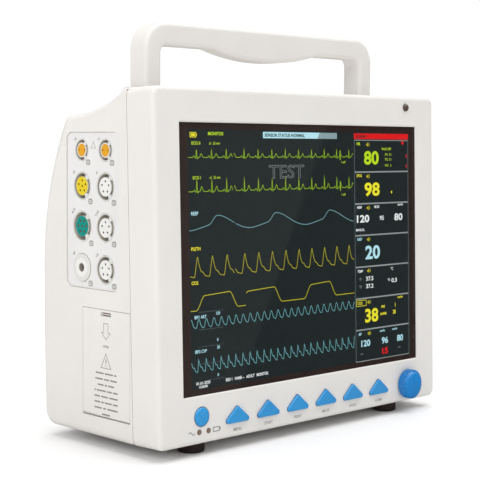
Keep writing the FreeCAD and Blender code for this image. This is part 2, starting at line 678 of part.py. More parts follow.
def case_solid(name, inset, edge_radius):
    """The profile drawn across the width, inset all round, with its long side edges rounded."""
    face = Part.Face(case_profile())
    if inset:
        face = face.makeOffset2D(-inset)
    half = DIMENSIONS["width"] / 2 - inset
    face.translate(Vector(-half, 0, 0))
    solid = face.extrude(Vector(2 * half, 0, 0))
    if edge_radius:
        front = DIMENSIONS["front"]
        rims = [e for e in solid.Edges if abs(abs(e.CenterOfMass.x) - half) < 0.01
                and e.CenterOfMass.y > front + 0.01]
        solid = solid.makeFillet(edge_radius, rims)
    shape = doc.addObject("Part::Feature", name)
    shape.Shape = solid
    return shape


def seam_cutter(name, inset, depth):
    """Everything in front of a depth on the leaning panel, inset from the case's outline."""
    low, high = "-dims.screen_rise - 20", "dims.face_height - dims.screen_rise + 20"
    if inset:
        low = f"-dims.screen_rise + {inset}"
        high = f"dims.face_height - dims.screen_rise - {inset}"
    side = f"{SIDE} - {inset}" if inset else f"{SIDE} + 5"
    box = span(name + "_box", (f"-({side})", side), ("-40", depth), (low, high))
    moved = doc.addObject("Part::Compound", name)
    moved.Links = [box]
    moved.Placement = PANEL
    return moved


def mirrored_pairs(make):
    """The pieces that make(side) gives for the left and the right."""
    return [piece for side in (-1, 1) for piece in make(side)]


def handle_lugs(side):
    """Two ears beside one handle leg."""
    y, z = f"{FRONT} + dims.handle_y", "dims.hinge_z"
    outer = "(dims.handle_w / 2 + 0.6)"
    inner = "(dims.handle_w / 2 - dims.handle_leg - 0.6)"
    ears = []
    for name, low in (("outer", outer), ("inner", f"({inner} - dims.lug_w)")):
        start = low if side > 0 else f"-({low} + dims.lug_w)"
        x = (start, f"{start} + dims.lug_w")
        ears.append(rod(f"lug_round_{name}_{side}", "dims.lug_radius", (start, y, z), "dims.lug_w", "x"))
        ears.append(span(f"lug_post_{name}_{side}", x, about(y, "dims.lug_radius * 2"),
                         ("dims.case_top - dims.shelf_drop - 4", z)))
    return ears


def handle_well(side):
    """The pocket that the end of one leg turns in, and the channel that the folded leg lies in."""
    width = "(dims.handle_leg + 1.2)"
    centre = f"{side} * (dims.handle_w / 2 - dims.handle_leg / 2)"
    y = f"{FRONT} + dims.handle_y"
    reach = "(dims.handle_t / 2 + dims.well_gap)"
    pocket = rod(f"handle_well_{side}", reach, (f"{centre} - {width} / 2", y, "dims.hinge_z"), width,
                 "x")
    channel = span(f"handle_channel_{side}", about(centre, width), (y, f"{FRONT} + dims.shelf_end"),
                   (f"dims.hinge_z - {reach}", "dims.hinge_z + dims.handle_t"))
    return [pocket, channel]


def well_block(side):
    """The thick part of the case that a handle well is sunk into."""
    centre = f"{side} * (dims.handle_w / 2 - dims.handle_leg / 2)"
    y = f"{FRONT} + dims.handle_y"
    half = "(dims.handle_t / 2 + dims.well_gap + dims.wall)"
    return [span(f"well_block_{side}", about(centre, "dims.handle_leg + 1.2 + dims.wall * 2"),
                 (f"{y} - {half}", f"{y} + {half}"), (f"dims.hinge_z - {half}", "dims.hinge_z + 2"))]


def screw_sites():
    return [(f"dims.screw_x * {side}", z) for side in (-1, 1) for z in ("dims.screw_low",
                                                                        "dims.screw_high")]


def rear_surface_y(z):
    """How far back the case reaches at a height."""
    line = Part.makeLine(Vector(0, DIMENSIONS["front"] + 60, z), Vector(0, DIMENSIONS["front"] + 400, z))
    crossing = case_profile().distToShape(line)
    return crossing[1][0][0].y


def rear_columns():
    columns, bores = [], []
    for k, (x, z) in enumerate(screw_sites()):
        start = f"{FRONT} + dims.seam_depth + 3"
        back = rear_surface_y(value(z))
        columns.append(rod(f"column_{k}", "dims.column_radius", (x, start, z),
                           str(back - value(start) - 0.5), "y"))
        bores.append(rod(f"column_bore_{k}", "dims.screw_radius + 0.1", (x, f"{start} - 5", z),
                         str(back - value(start) + 10), "y"))
        bores.append(rod(f"column_sink_{k}", "dims.head_radius + 0.3",
                         (x, f"{back} - dims.head_sink", z), "40", "y"))
    return columns, bores


def insert_sites():
    half = "dims.insert_pitch / 2"
    return [(f"{sx} * {half}", f"{FRONT} + dims.insert_y + {sy} * {half}") for sx in (-1,
                                                                                      1) for sy in (-1,
                                                                                                    1)]


def rear_foot_sites():
    return [(f"{side} * dims.foot_x", f"{FRONT} + dims.foot_rear") for side in (-1, 1)]


def under_bosses():
    """Bosses in the bottom for the rear feet and the bracket inserts."""
    bosses, bores = [], []
    for k, (x, y) in enumerate(rear_foot_sites()):
        bosses.append(rod(f"foot_boss_{k}", "4", (x, y, f"{FLOOR} - 0.5"), "8", "z"))
        bores.append(rod(f"foot_seat_{k}", "dims.foot_radius + dims.fit_gap", (x, y, "0"),
                         "dims.foot_height + dims.foot_sink", "z"))
        bores.append(rod(f"foot_bore_{k}", "1.55", (x, y, "0"), "dims.foot_height + 9", "z"))
    for k, (x, y) in enumerate(insert_sites()):
        bosses.append(rod(f"insert_boss_{k}", "dims.insert_radius + 2.5", (x, y, f"{FLOOR} - 0.5"),
                          "dims.insert_t - dims.wall + 2.5", "z"))
        bores.append(rod(f"insert_hole_{k}", "dims.insert_radius + 0.02", (x, y, "dims.foot_height - 1"),
                         "dims.insert_t + 1", "z"))
    return bosses, bores


def side_hole(name, side, y, z, depth):
    """A cutter through one side wall: side is -1 for the left."""
    x = (f"{SIDE} - ({depth})", f"{SIDE} + 5") if side > 0 else (f"-{SIDE} - 5", f"-{SIDE} + ({depth})")
    return span(name, x, y, z)


def door_spans(kind):
    """The y and z spans of a side door's opening."""
    near, far, low, high = (f"dims.{kind}_{edge}" for edge in ("near", "far", "low", "high"))
    return (f"{FRONT} + {near}", f"{FRONT} + {far}"), (low, high)


def door_jambs(kind, side):
    """Blocks that carry the pins at each end of a door's lower edge, with the pins' holes."""
    (near, far), (low, _) = door_spans(kind)
    blocks, holes = [], []
    z = f"{low} + dims.door_t"
    outer = f"{SIDE} - dims.door_t"
    for name, edge, way in (("near", near, -1), ("far", far, 1)):
        y0 = f"{edge} + {way} * dims.door_gap"
        y = (y0, f"{y0} + 3") if way > 0 else (f"{y0} - 3", y0)
        x = (f"{outer} - 5", outer) if side > 0 else (f"-({outer})", f"-({outer} - 5)")
        blocks.append(span(f"{kind}_jamb_{name}", x, y, about(z, "10")))
        start = f"{edge} - 3.5" if way < 0 else f"{edge} - 1"
        x_axis = outer if side > 0 else f"-({outer})"
        holes.append(rod(f"{kind}_pin_hole_{name}", "dims.pin_r", (x_axis, start, z), "4.5", "y"))
    return blocks, holes


def connector_bay():
    """The sunk bay at the back: its thick surround, the sink and the window behind the plate."""
    x = about("dims.bay_x", "dims.bay_w")
    z = ("dims.bay_low", "dims.bay_high")
    floor_y = f"{REAR} - dims.bay_sink"
    block = span("bay_block", about("dims.bay_x", "dims.bay_w + dims.wall * 2"),
                 (f"{floor_y} - dims.wall", f"{REAR} - dims.wall"),
                 ("dims.bay_low - dims.wall", "dims.bay_high + dims.wall"))
    sink = rounded("bay_sink_round", span("bay_sink", x, (floor_y, f"{REAR} + 5"), z), "4", along("y"))
    window = span("bay_window", about("dims.bay_x", "dims.bay_w - 14"),
                  (f"{floor_y} - 10", f"{floor_y} + 1"),
                  ("dims.bay_low + 7", "dims.bay_high - 7"))
    return block, [sink, window]


def vents():
    """Cooling slots high in the back, and the speaker's slots in the bottom."""
    slots = []
    for k in range(-9, 10):
        x = about(f"dims.vent_pitch * {k}", "dims.vent_w")
        slots.append(span(f"back_vent_{k + 10}", x, (f"{FRONT} + 105", f"{REAR} + 5"),
                          about("dims.vent_z", "dims.vent_h")))
    for k in range(-4, 5):
        x = about(f"{SPEAKER_X} + {k} * 4", "2")
        slots.append(span(f"speaker_vent_{k + 5}", x, about(SPEAKER_Y, "26"),
                          ("0", "dims.foot_height + 4")))
    return slots


SPEAKER_X = "dims.foot_x + 6"
SPEAKER_Y = f"{FRONT} + 72"


def rear_case():
    outer = case_solid("case_outer", 0, DIMENSIONS["corner_radius"])
    inner = case_solid("case_inner", DIMENSIONS["wall"], 0)
    columns, column_bores = rear_columns()
    bosses, boss_bores = under_bosses()
    bay, bay_cuts = connector_bay()
    shell = cut("case_shell", outer, [inner])
    inside = [bay] + columns + bosses + mirrored_pairs(well_block)
    door_holes, pin_holes = [], []
    for kind, side in (("door", -1), ("rec", 1)):
        (near, far), (low, high) = door_spans(kind)
        blocks, holes = door_jambs(kind, side)
        inside += blocks
        pin_holes += holes
        door_holes.append(side_hole(f"{kind}_opening", side,
                                    (f"{near} - dims.door_gap", f"{far} + dims.door_gap"),
                                    (f"{low} - dims.door_gap", f"{high} + dims.door_gap"), "12"))
    filled = common("case_filled", fuse("case_inside", inside), outer)
    body = fuse("case_body", [shell, filled] + mirrored_pairs(handle_lugs))
    port_hole = rounded("port_opening_round",
                        side_hole("port_opening", -1,
                                  (f"{FRONT} + dims.port_near", f"{FRONT} + dims.port_far"),
                                  ("dims.port_low", "dims.port_high"), "dims.wall + 1"),
                                  "dims.port_corner", along("x"))
    hinge_bores = [rod("hinge_bore", "dims.hinge_pin",
                       ("-dims.handle_w / 2 - 7.5", f"{FRONT} + dims.handle_y",
                                                        "dims.hinge_z"), "dims.handle_w + 15", "x")]
    label_sink = span("label_sink", about("-dims.label_x", "dims.label_w"),
                      (f"{REAR} - dims.label_t", f"{REAR} + 5"),
                      about("dims.label_z", "dims.label_h"))
    tools = [seam_cutter("seam_cut", "", "dims.seam_depth + dims.seam_gap"),
             seam_cutter("tongue_cut", "(dims.wall - dims.tongue - dims.fit_gap)",
                         "dims.seam_depth + dims.tongue_reach + dims.fit_gap"),
             port_hole, label_sink]
    tools += door_holes + pin_holes + hinge_bores + column_bores + boss_bores + bay_cuts + vents()
    tools += mirrored_pairs(handle_well)
    node(cut("case_rear", body, tools), "rear_case")


# ---- handle ----------------------------------------------------------------------------------------


def handle_outline():
    """The front view of the handle: two legs, a bar and a grip that bellies down in the middle."""
    v = {name: value("dims." + name) for name in ("handle_w", "handle_leg", "handle_bar", "handle_top",
                                                  "handle_round", "handle_inner", "grip_half",
                                                  "grip_drop", "hinge_z")}
    side, top, foot = v["handle_w"] / 2, v["handle_top"], v["hinge_z"]
    inner, under = side - v["handle_leg"], v["handle_top"] - v["handle_bar"]
    big, small = v["handle_round"], v["handle_inner"]
    diagonal = math.sqrt(0.5)

    def point(x, z):
        return Vector(x, 0, z)

    def corner(cx, cz, radius, sx, sz):
        """The three points of a quarter arc about (cx, cz), from its side to its top or bottom."""
        return (point(cx + sx * radius, cz), point(cx + sx * radius * diagonal,
                                                   cz + sz * radius * diagonal),
                point(cx, cz + sz * radius))

    left = corner(-side + big, top - big, big, -1, 1)
    right = corner(side - big, top - big, big, 1, 1)
    inner_left = corner(-inner + small, under - small, small, -1, 1)
    inner_right = corner(inner - small, under - small, small, 1, 1)
    edges = [
        Part.makeLine(point(-side, foot), left[0]), Part.Arc(*left).toShape(),
        Part.makeLine(left[2], right[2]), Part.Arc(*right[::-1]).toShape(),
        Part.makeLine(right[0], point(side, foot)), Part.makeLine(point(side, foot), point(inner, foot)),
        Part.makeLine(point(inner, foot), inner_right[0]), Part.Arc(*inner_right).toShape(),
        Part.makeLine(inner_right[2], point(v["grip_half"], under)),
        Part.Arc(point(v["grip_half"], under), point(0, under - v["grip_drop"]),
                 point(-v["grip_half"], under)).toShape(),
        Part.makeLine(point(-v["grip_half"], under), inner_left[2]),
        Part.Arc(*inner_left[::-1]).toShape(),
        Part.makeLine(inner_left[0], point(-inner, foot)),
        Part.makeLine(point(-inner, foot), point(-side, foot)),
    ]
    return Part.Wire(Part.__sortEdges__(edges))


def handle():
    depth = value("dims.handle_t")
    front = value(f"{FRONT} + dims.handle_y") - depth / 2
    bow = Part.Face(handle_outline()).extrude(Vector(0, depth, 0))
    bow.translate(Vector(0, front, 0))
    foot = value("dims.hinge_z")
    rims = [e for e in bow.Edges if e.BoundBox.YLength < 0.01 and e.BoundBox.ZMax > foot + 0.01]
    shape = doc.addObject("Part::Feature", "handle_bow")
    shape.Shape = bow.makeFillet(value("dims.handle_edge"), rims)
    ends, bores = [], []
    y = f"{FRONT} + dims.handle_y"
    for side in (-1, 1):
        centre = f"{side} * (dims.handle_w / 2 - dims.handle_leg / 2)"
        start = f"{centre} - dims.handle_leg / 2"
        ends.append(rod(f"handle_end_{side}", "dims.handle_t / 2", (start, y, "dims.hinge_z"),
                        "dims.handle_leg", "x"))
        bores.append(rod(f"handle_bore_{side}", "dims.hinge_pin + dims.running_gap",
                         (f"{start} - 1", y, "dims.hinge_z"),
                         "dims.handle_leg + 2", "x"))
    node(cut("handle_piece", fuse("handle_blank", [shape] + ends), bores), "handle")
    pins = []
    for side in (-1, 1):
        start = f"{side} * (dims.handle_w / 2 - dims.handle_leg / 2) - dims.handle_leg / 2 - 7"
        body = rod(f"hinge_pin_{side}", "dims.hinge_pin", (start, y, "dims.hinge_z"),
                   "dims.handle_leg + 14", "x")
        dimple = rod(f"hinge_dimple_{side}", "0.8", (start, y, "dims.hinge_z"), "1", "x")
        pins.append(cut(f"hinge_pin_part_{side}", body, [dimple]))
    node(group("hinge_pins", pins), "handle_pins")


# ---- ports on the left side ------------------------------------------------------------------------

# name, distance behind the front plane, height, outer radius, pins on the ring, pin in the centre
SOCKETS = (
    ("temp_socket_1", 57.8, 218.8, 8.0, 2, 0),
    ("temp_socket_2", 85.6, 218.8, 8.0, 2, 0),
    ("ibp_socket_1", 57.8, 192.5, 10.2, 5, 0),
    ("ibp_socket_2", 85.2, 192.5, 10.2, 5, 1),
    ("resp_socket", 57.8, 162.9, 10.4, 5, 0),
    ("ecg_socket", 85.2, 162.9, 11.2, 6, 1),
    ("spo2_socket", 57.8, 132.4, 10.4, 5, 0),
)
HOSE_PORT = (85.2, 132.4, 10.3)


def port_face():
    """X of the port panel's outer face."""
    return f"(-{SIDE} + dims.port_sink)"


def port_panel():
    y = (f"{FRONT} + dims.port_near", f"{FRONT} + dims.port_far")
    z = ("dims.port_low", "dims.port_high")
    gap = "dims.fit_gap"
    face = span("port_face", (port_face(), f"{port_face()} + dims.port_plate_t"),
                (f"{y[0]} + {gap}", f"{y[1]} - {gap}"),
                (f"{z[0]} + {gap}", f"{z[1]} - {gap}"))
    face = rounded("port_face_round", face, f"dims.port_corner - {gap}", along("x"))
    back = span("port_flange", (f"-{INNER_SIDE} + 0.05", f"{port_face()} + dims.port_plate_t"),
                (f"{y[0]} - 3", f"{y[1]} + 3"), (f"{z[0]} - 3", f"{z[1]} + 3"))
    holes = []
    sites = [(name, y, z, r) for name, y, z, r, *_ in SOCKETS] + [("hose", *HOSE_PORT)]
    for name, depth, height, radius in sites:
        holes.append(rod(name + "_seat", f"{radius} + 0.2",
                         (f"-{SIDE}", f"{FRONT} + {depth}", str(height)), "12", "x"))
    node(cut("port_plate", fuse("port_blank", [face, back]), holes), "port_panel")


def socket(label, depth, height, radius, ring_pins, centre_pin):
    """A round socket: outer ring, annular slot broken by two keys, and a core with pin holes."""
    y, z = f"{FRONT} + {depth}", str(height)
    start = (port_face(), y, z)
    body = rod(label + "_body", str(radius), start, "dims.socket_depth", "x")
    core_radius = radius * 0.68
    slot = tube(label + "_slot", str(radius * 0.93), str(core_radius), (f"{port_face()} - 1", y, z),
                "dims.slot_depth + 1", "x")
    keys = []
    for k, (dy, dz) in enumerate(((-0.55, 0.62), (-0.5, -0.66))):
        keys.append(span(f"{label}_key_{k + 1}", (port_face(), f"{port_face()} + dims.slot_depth"),
                         about(f"{y} + {radius * dy}", str(radius * 0.3)),
                         about(f"{z} + {radius * dz}", str(radius * 0.3))))
    slot = cut(label + "_groove", slot, keys)
    ring = radius * 0.4
    first = 90 if ring_pins % 2 else 0
    holes = []
    for k in range(ring_pins):
        angle = math.radians(first + 360 * k / ring_pins)
        site = (f"{port_face()} - 1", f"{y} + {ring * math.cos(angle)}",
                f"{z} + {ring * math.sin(angle)}")
        holes.append(rod(f"{label}_pin_{k + 1}", str(radius * 0.09), site, "6", "x"))
    if centre_pin:
        holes.append(rod(label + "_pin_centre", str(radius * 0.09), (f"{port_face()} - 1", y, z), "6",
                         "x"))
    node(cut(label + "_part", body, [slot] + holes), label)


def ports():
    port_panel()
    for entry in SOCKETS:
        socket(*entry)
    depth, height, radius = HOSE_PORT
    at = (port_face(), f"{FRONT} + {depth}", str(height))
    body = rod("hose_body", str(radius), (f"{port_face()} - 0.8", at[1], at[2]),
               "dims.socket_depth + 0.8", "x")
    body = rounded("hose_round", body, "0.6",
                   lambda e: abs(e.CenterOfMass.x - value(port_face()) + 0.8) < 0.01)
    bore = rod("hose_bore_cut", "dims.hose_bore", (f"{port_face()} - 2", at[1], at[2]), "16", "x")
    barb = rod("hose_barb", "3", (f"{port_face()} + dims.socket_depth - 1", at[1], at[2]), "14", "x")
    node(fuse("hose_part", [cut("hose_bored", body, [bore]), barb]), "nibp_port")
    x = f"{port_face()} + dims.socket_depth"
    board = span("parameter_blank", (x, f"{x} + dims.board_t"),
                 (f"{FRONT} + dims.port_near", f"{FRONT} + dims.port_far"),
                 ("dims.port_low", "dims.port_high"))
    barb_hole = rod("barb_hole", "3.4", (f"{x} - 1", at[1], at[2]), "4", "x")
    chips = [span(f"parameter_chip_{k}", (x, f"{x} + dims.board_t + 3"),
                  about(f"{FRONT} + 57 + {k % 2} * 24", "14"),
                  about(f"150 + {k} * 22", "14")) for k in range(4)]
    node(cut("parameter", fuse("parameter_built", [board] + chips), [barb_hole]), "parameter_board")


# ---- side doors ------------------------------------------------------------------------------------


def side_door(kind, side, label, latch):
    """A flush door that turns on pins in its rounded lower edge."""
    (near, far), (low, high) = door_spans(kind)
    axis_x = f"({SIDE} - dims.door_t)"
    leaf_x = (axis_x, SIDE) if side > 0 else (f"-{SIDE}", f"-{axis_x}")
    axis_z = f"{low} + dims.door_t"
    leaf = span(label + "_leaf", leaf_x, (near, far), (axis_z, high))
    barrel = rod(label + "_barrel", "dims.door_t", (axis_x if side > 0 else f"-{axis_x}", near, axis_z),
                 f"({far}) - ({near})", "y")
    rib_x = (f"{axis_x} - 4", f"{axis_x} + 1") if side > 0 else (f"-{axis_x} - 1", f"-{axis_x} + 4")
    middle = f"(({near}) + ({far})) / 2"
    catch = span(label + "_catch", rib_x, about(middle, latch), (f"{high} - 4", f"{high} - 0.4"))
    slot_x = (f"{SIDE} - 1.4", f"{SIDE} + 2") if side > 0 else (f"-{SIDE} - 2", f"-{SIDE} + 1.4")
    slot = span(label + "_slot", slot_x, about(middle, latch), (f"{high} - 4.6", f"{high} - 1.6"))
    bores = [slot]
    for name, start in (("near", near), ("far", f"{far} - 9")):
        x = axis_x if side > 0 else f"-{axis_x}"
        bores.append(rod(f"{label}_pin_bore_{name}", "dims.pin_r + dims.running_gap",
                         (x, f"{start} - 0.5", axis_z), "9.5", "y"))
    node(cut(label + "_part", fuse(label + "_blank", [leaf, barrel, catch]), bores), label)


def door_pins():
    pins = []
    for kind, side in (("door", -1), ("rec", 1)):
        (near, far), (low, _) = door_spans(kind)
        x = f"{side} * ({SIDE} - dims.door_t)"
        z = f"{low} + dims.door_t"
        for name, start in (("near", f"{near} - dims.pin_hold"),
                            ("far", f"{far} + dims.pin_hold - dims.pin_length")):
            pins.append(rod(f"{kind}_pin_{name}", "dims.pin_r", (x, start, z), "dims.pin_length", "y"))
    node(group("pins", pins), "door_pins")


def open_box(name, side, y, z, reach, wall):
    """A sleeve open to the side of the case, with a closed inner end."""
    start = "(dims.wall + 6)"
    if side > 0:
        outer_x = (f"{SIDE} - {start} - {reach}", f"{SIDE} - {start}")
        inner_x = (f"{SIDE} - {start} - {reach} + {wall}", f"{SIDE}")
    else:
        outer_x = (f"-{SIDE} + {start}", f"-{SIDE} + {start} + {reach}")
        inner_x = (f"-{SIDE}", f"-{SIDE} + {start} + {reach} - {wall}")
    outer = span(name + "_outer", outer_x, y, z)
    inner = span(name + "_inner", inner_x, (f"{y[0]} + {wall}", f"{y[1]} - {wall}"),
                 (f"{z[0]} + {wall}", f"{z[1]} - {wall}"))
    return outer, inner


def battery():
    (near, far), (low, high) = door_spans("door")
    y, z = (f"{near} + 1.5", f"{far} - 1.5"), (f"{low} + 6", f"{high} - 5")
    outer, inner = open_box("battery_sleeve", -1, y, z, "dims.bay_reach", "dims.bay_wall")
    node(cut("battery_sleeve", outer, [inner]), "battery_bay")
    gap = "(dims.bay_wall + dims.pack_gap)"
    x = (f"-{SIDE} + dims.wall + 8", f"-{SIDE} + dims.wall + 8 + dims.pack_length")
    pack = span("pack_blank", x, (f"{y[0]} + {gap}", f"{y[1]} - {gap}"),
                (f"{z[0]} + dims.bay_wall", f"{z[1]} - {gap}"))
    node(rounded("pack_round", pack, "3", along("x")), "battery_pack")


def recorder():
    (near, far), (low, high) = door_spans("rec")
    y, z = (f"{near} + 1.5", f"{far} - 1.5"), (f"{low} + 6", f"{high} - 5")
    outer, inner = open_box("recorder_sleeve", 1, y, z, "dims.rec_reach", "dims.bay_wall")
    roll_x = f"{SIDE} - dims.wall - 6 - dims.bay_wall - dims.roll_radius - 12"
    roll_z = f"{z[0]} + dims.bay_wall + dims.roll_radius + 1"
    wall_y = (f"{y[0]} + dims.bay_wall", f"{y[1]} - dims.bay_wall")
    stubs = [rod("roll_stub_near", "dims.roll_core - 0.3", (roll_x, f"{wall_y[0]} - 0.5", roll_z), "4.5",
                 "y"),
             rod("roll_stub_far", "dims.roll_core - 0.3", (roll_x, f"{wall_y[1]} - 4", roll_z), "4.5",
                 "y")]
    node(fuse("recorder_box", [cut("recorder_sleeve", outer, [inner])] + stubs), "recorder_frame")
    node(tube("roll", "dims.roll_radius", "dims.roll_core", (roll_x, f"{wall_y[0]} + 0.6", roll_z),
              f"({wall_y[1]}) - ({wall_y[0]}) - 1.2", "y"), "paper_roll")
    platen_x = f"{SIDE} - dims.door_t - dims.platen_radius - 1.2"
    platen_z = f"{high} - 14"
    roller = tube("platen", "dims.platen_radius", "dims.platen_core + dims.running_gap",
                  (platen_x, f"{near} + 6", platen_z), f"({far}) - ({near}) - 12", "y")
    node(roller, "platen_roller")


def recorder_door():
    """The recorder's door also carries two cheeks and the platen's axle."""
    side_door("rec", 1, "recorder_door", "16")
    leaf = NODES.pop()
    leaf.Label = "recorder_door_leaf"
    (near, far), (_, high) = door_spans("rec")
    platen_x = f"{SIDE} - dims.door_t - dims.platen_radius - 1.2"
    platen_z = f"{high} - 14"
    cheeks = [span(f"platen_cheek_{k}", (f"{platen_x} - 3", f"{SIDE} - dims.door_t + 0.5"), y,
                   about(platen_z, "7"))
              for k, y in enumerate(((f"{near} + 4", f"{near} + 5.6"), (f"{far} - 5.6", f"{far} - 4")))]
    axle = rod("platen_axle", "dims.platen_core", (platen_x, f"{near} + 5", platen_z),
               f"({far}) - ({near}) - 10", "y")
    node(fuse("recorder_door_part", [leaf, axle] + cheeks), "recorder_door")


# ---- feet and screws -------------------------------------------------------------------------------


def foot_sites():
    return [(f"{side} * dims.foot_x", f"{FRONT} + dims.foot_{end}") for end in ("front",
                                                                                "rear") for side in (-1,
                                                                                                     1)]


def feet():
    pads, screws = [], []
    for k, (x, y) in enumerate(foot_sites()):
        blank = rod(f"foot_blank_{k}", "dims.foot_radius", (x, y, "0"),
                    "dims.foot_height + dims.foot_sink", "z")
        blank = rounded(f"foot_round_{k}", blank, "1.6",
                        lambda e: e.CenterOfMass.z < 0.01 and not isinstance(e.Curve, Part.Line))
        sink = rod(f"foot_sink_{k}", "3.6", (x, y, "-1"), "4.5", "z")
        hole = rod(f"foot_hole_{k}", "1.6", (x, y, "-1"), "20", "z")
        pads.append(cut(f"foot_{k}", blank, [sink, hole]))
        screws.append(screw(f"foot_screw_{k}", (x, y, "1.3"), "z", "1.5", "11", "3.1", "2.2"))
    node(group("feet", pads), "rubber_feet")
    node(group("feet_screws", screws), "foot_screws")


def case_screws():
    screws = []
    for k, (x, z) in enumerate(screw_sites()):
        back = rear_surface_y(value(z)) - value("dims.head_sink")
        tip = value(f"{FRONT} + dims.face_t + 7")
        head = rod(f"case_screw_head_{k}", "dims.head_radius", (x, str(back), z), "dims.head_t", "y")
        shank = rod(f"case_screw_shank_{k}", "dims.screw_radius", (x, str(tip), z),
                    str(back - tip + 0.5), "y")
        slots = [span(f"case_screw_slot_{k}_{m}", about(x, w), (f"{back} + 1.2", f"{back} + 4"),
                      about(z, t))
                 for m, (w, t) in enumerate((("4", "0.9"), ("0.9", "4")))]
        screws.append(cut(f"case_screw_{k}", fuse(f"case_screw_blank_{k}", [head, shank]), slots))
    node(group("screws", screws), "case_screws")
    inserts = [tube(f"insert_{k}", "dims.insert_radius", "dims.insert_bore",
                    (x, y, "dims.foot_height + 0.1"),
                    "dims.insert_t - 0.2", "z") for k, (x, y) in enumerate(insert_sites())]
    node(group("inserts", inserts), "mount_inserts")


# ---- inside ----------------------------------------------------------------------------------------


def boards():
    y = f"{FRONT} + dims.main_y"
    width, z = "dims.main_w", ("dims.main_low", "dims.main_high")
    board = span("main_blank", about("0", width), (y, f"{y} + dims.board_t"), z)
    chips = [span(f"main_chip_{k}", about(f"-60 + {k} * 40", "18 + " + str(k % 2 * 8)),
                  (f"{y} + dims.board_t - 0.5", f"{y} + dims.board_t + 2.5"),
                  about(f"{165 + k % 3 * 24}", "20"))
             for k in range(4)]
    sites = [(f"{sx} * (dims.main_w / 2 - 6)",
              f"dims.main_low + 6 + {k} * (dims.main_high - dims.main_low - 12) / 2")
             for sx in (-1, 1) for k in range(3)]
    holes = [rod(f"main_hole_{k}", "1.7", (x, f"{y} - 1", z0), "5",
                 "y") for k, (x, z0) in enumerate(sites)]
    node(cut("main", fuse("main_built", [board] + chips), holes), "main_board")
    plate_y = f"{FRONT} + dims.chassis_y"
    plate = span("chassis_blank", about("0", f"{width} + 8"), (plate_y, f"{plate_y} + dims.chassis_t"),
                 (f"{z[0]} - 4", z[1]))
    shelf = span("chassis_shelf", about("0", f"{width} + 8"), (plate_y, f"{plate_y} + 16"),
                 (f"{z[0]} - 4", f"{z[0]} - 4 + dims.chassis_t"))
    plate_holes = [rod(f"chassis_hole_{k}", "1.7", (x, f"{plate_y} - 1", z0), "5",
                       "y") for k, (x, z0) in enumerate(sites)]
    node(cut("chassis", fuse("chassis_blank_2", [plate, shelf]), plate_holes), "chassis_plate")
    standoffs = [tube(f"standoff_{k}", "2.8", "1.5", (x, f"{y} + dims.board_t", z0),
                      "dims.chassis_y - dims.main_y - dims.board_t",
                      "y") for k, (x, z0) in enumerate(sites)]
    node(group("standoffs", standoffs), "board_standoffs")


def pump():
    """The cuff pump: a round body strapped to a foot on the chassis plate."""
    y = f"{FRONT} + dims.chassis_y + dims.chassis_t"
    body = rod("pump_body", "13", ("-80", f"{y} + 17", "150"), "40", "x")
    head = rod("pump_head", "10", ("-92", f"{y} + 17", "150"), "13", "x")
    foot = span("pump_foot", ("-74", "-50"), (y, f"{y} + 17"), ("140", "160"))
    node(fuse("pump", [body, head, foot]), "nibp_pump")


def power_supply():
    y = (f"{FRONT} + 40", f"{FRONT} + 100")
    board = span("power_blank", ("-48", "85"), y, ("dims.power_z", "dims.power_z + dims.board_t"))
    top = "dims.power_z + dims.board_t - 0.5"
    core = span("power_core", ("-5", "35"), (f"{y[0]} + 6", f"{y[0]} + 40"), (top, "dims.power_z + 32"))
    choke = rod("power_choke", "9", ("-28", f"{y[0]} + 22", top), "20", "z")
    cans = [rod(f"power_can_{k}", "7", (f"{52 + k * 17}", f"{y[0]} + 18", top), "30",
                "z") for k in range(2)]
    node(fuse("power", [board, core, choke] + cans), "power_board")
    base = span("sink_base", ("-44", "80"), (f"{FRONT} + 84", f"{FRONT} + 88"),
                (f"dims.power_z + dims.board_t", "76"))
    fins = [span(f"sink_fin_{k}", (f"{-44 + k * 12.1}", f"{-41.5 + k * 12.1}"),
                 (f"{FRONT} + 87", f"{FRONT} + 98"),
                 (f"dims.power_z + dims.board_t", "76")) for k in range(11)]
    node(fuse("sink", [base] + fins), "heat_sink")


def speaker():
    at = (SPEAKER_X, SPEAKER_Y, f"{FLOOR} + 0.1")
    basket = rod("speaker_basket", "20", at, "3", "z")
    cone = doc.addObject("Part::Cone", "speaker_cone")
    bind(cone, "Radius1", "18")
    bind(cone, "Radius2", "9")
    bind(cone, "Height", "10")
    place(cone, (at[0], at[1], f"{at[2]} + 2"))
    magnet = rod("speaker_magnet", "11", (at[0], at[1], f"{at[2]} + 11"), "7", "z")
    mouth = rod("speaker_mouth", "15", (at[0], at[1], f"{at[2]} - 1"), "3.5", "z")
    node(cut("speaker_part", fuse("speaker_blank", [basket, cone, magnet]), [mouth]), "speaker")


# ---- connectors at the back ------------------------------------------------------------------------


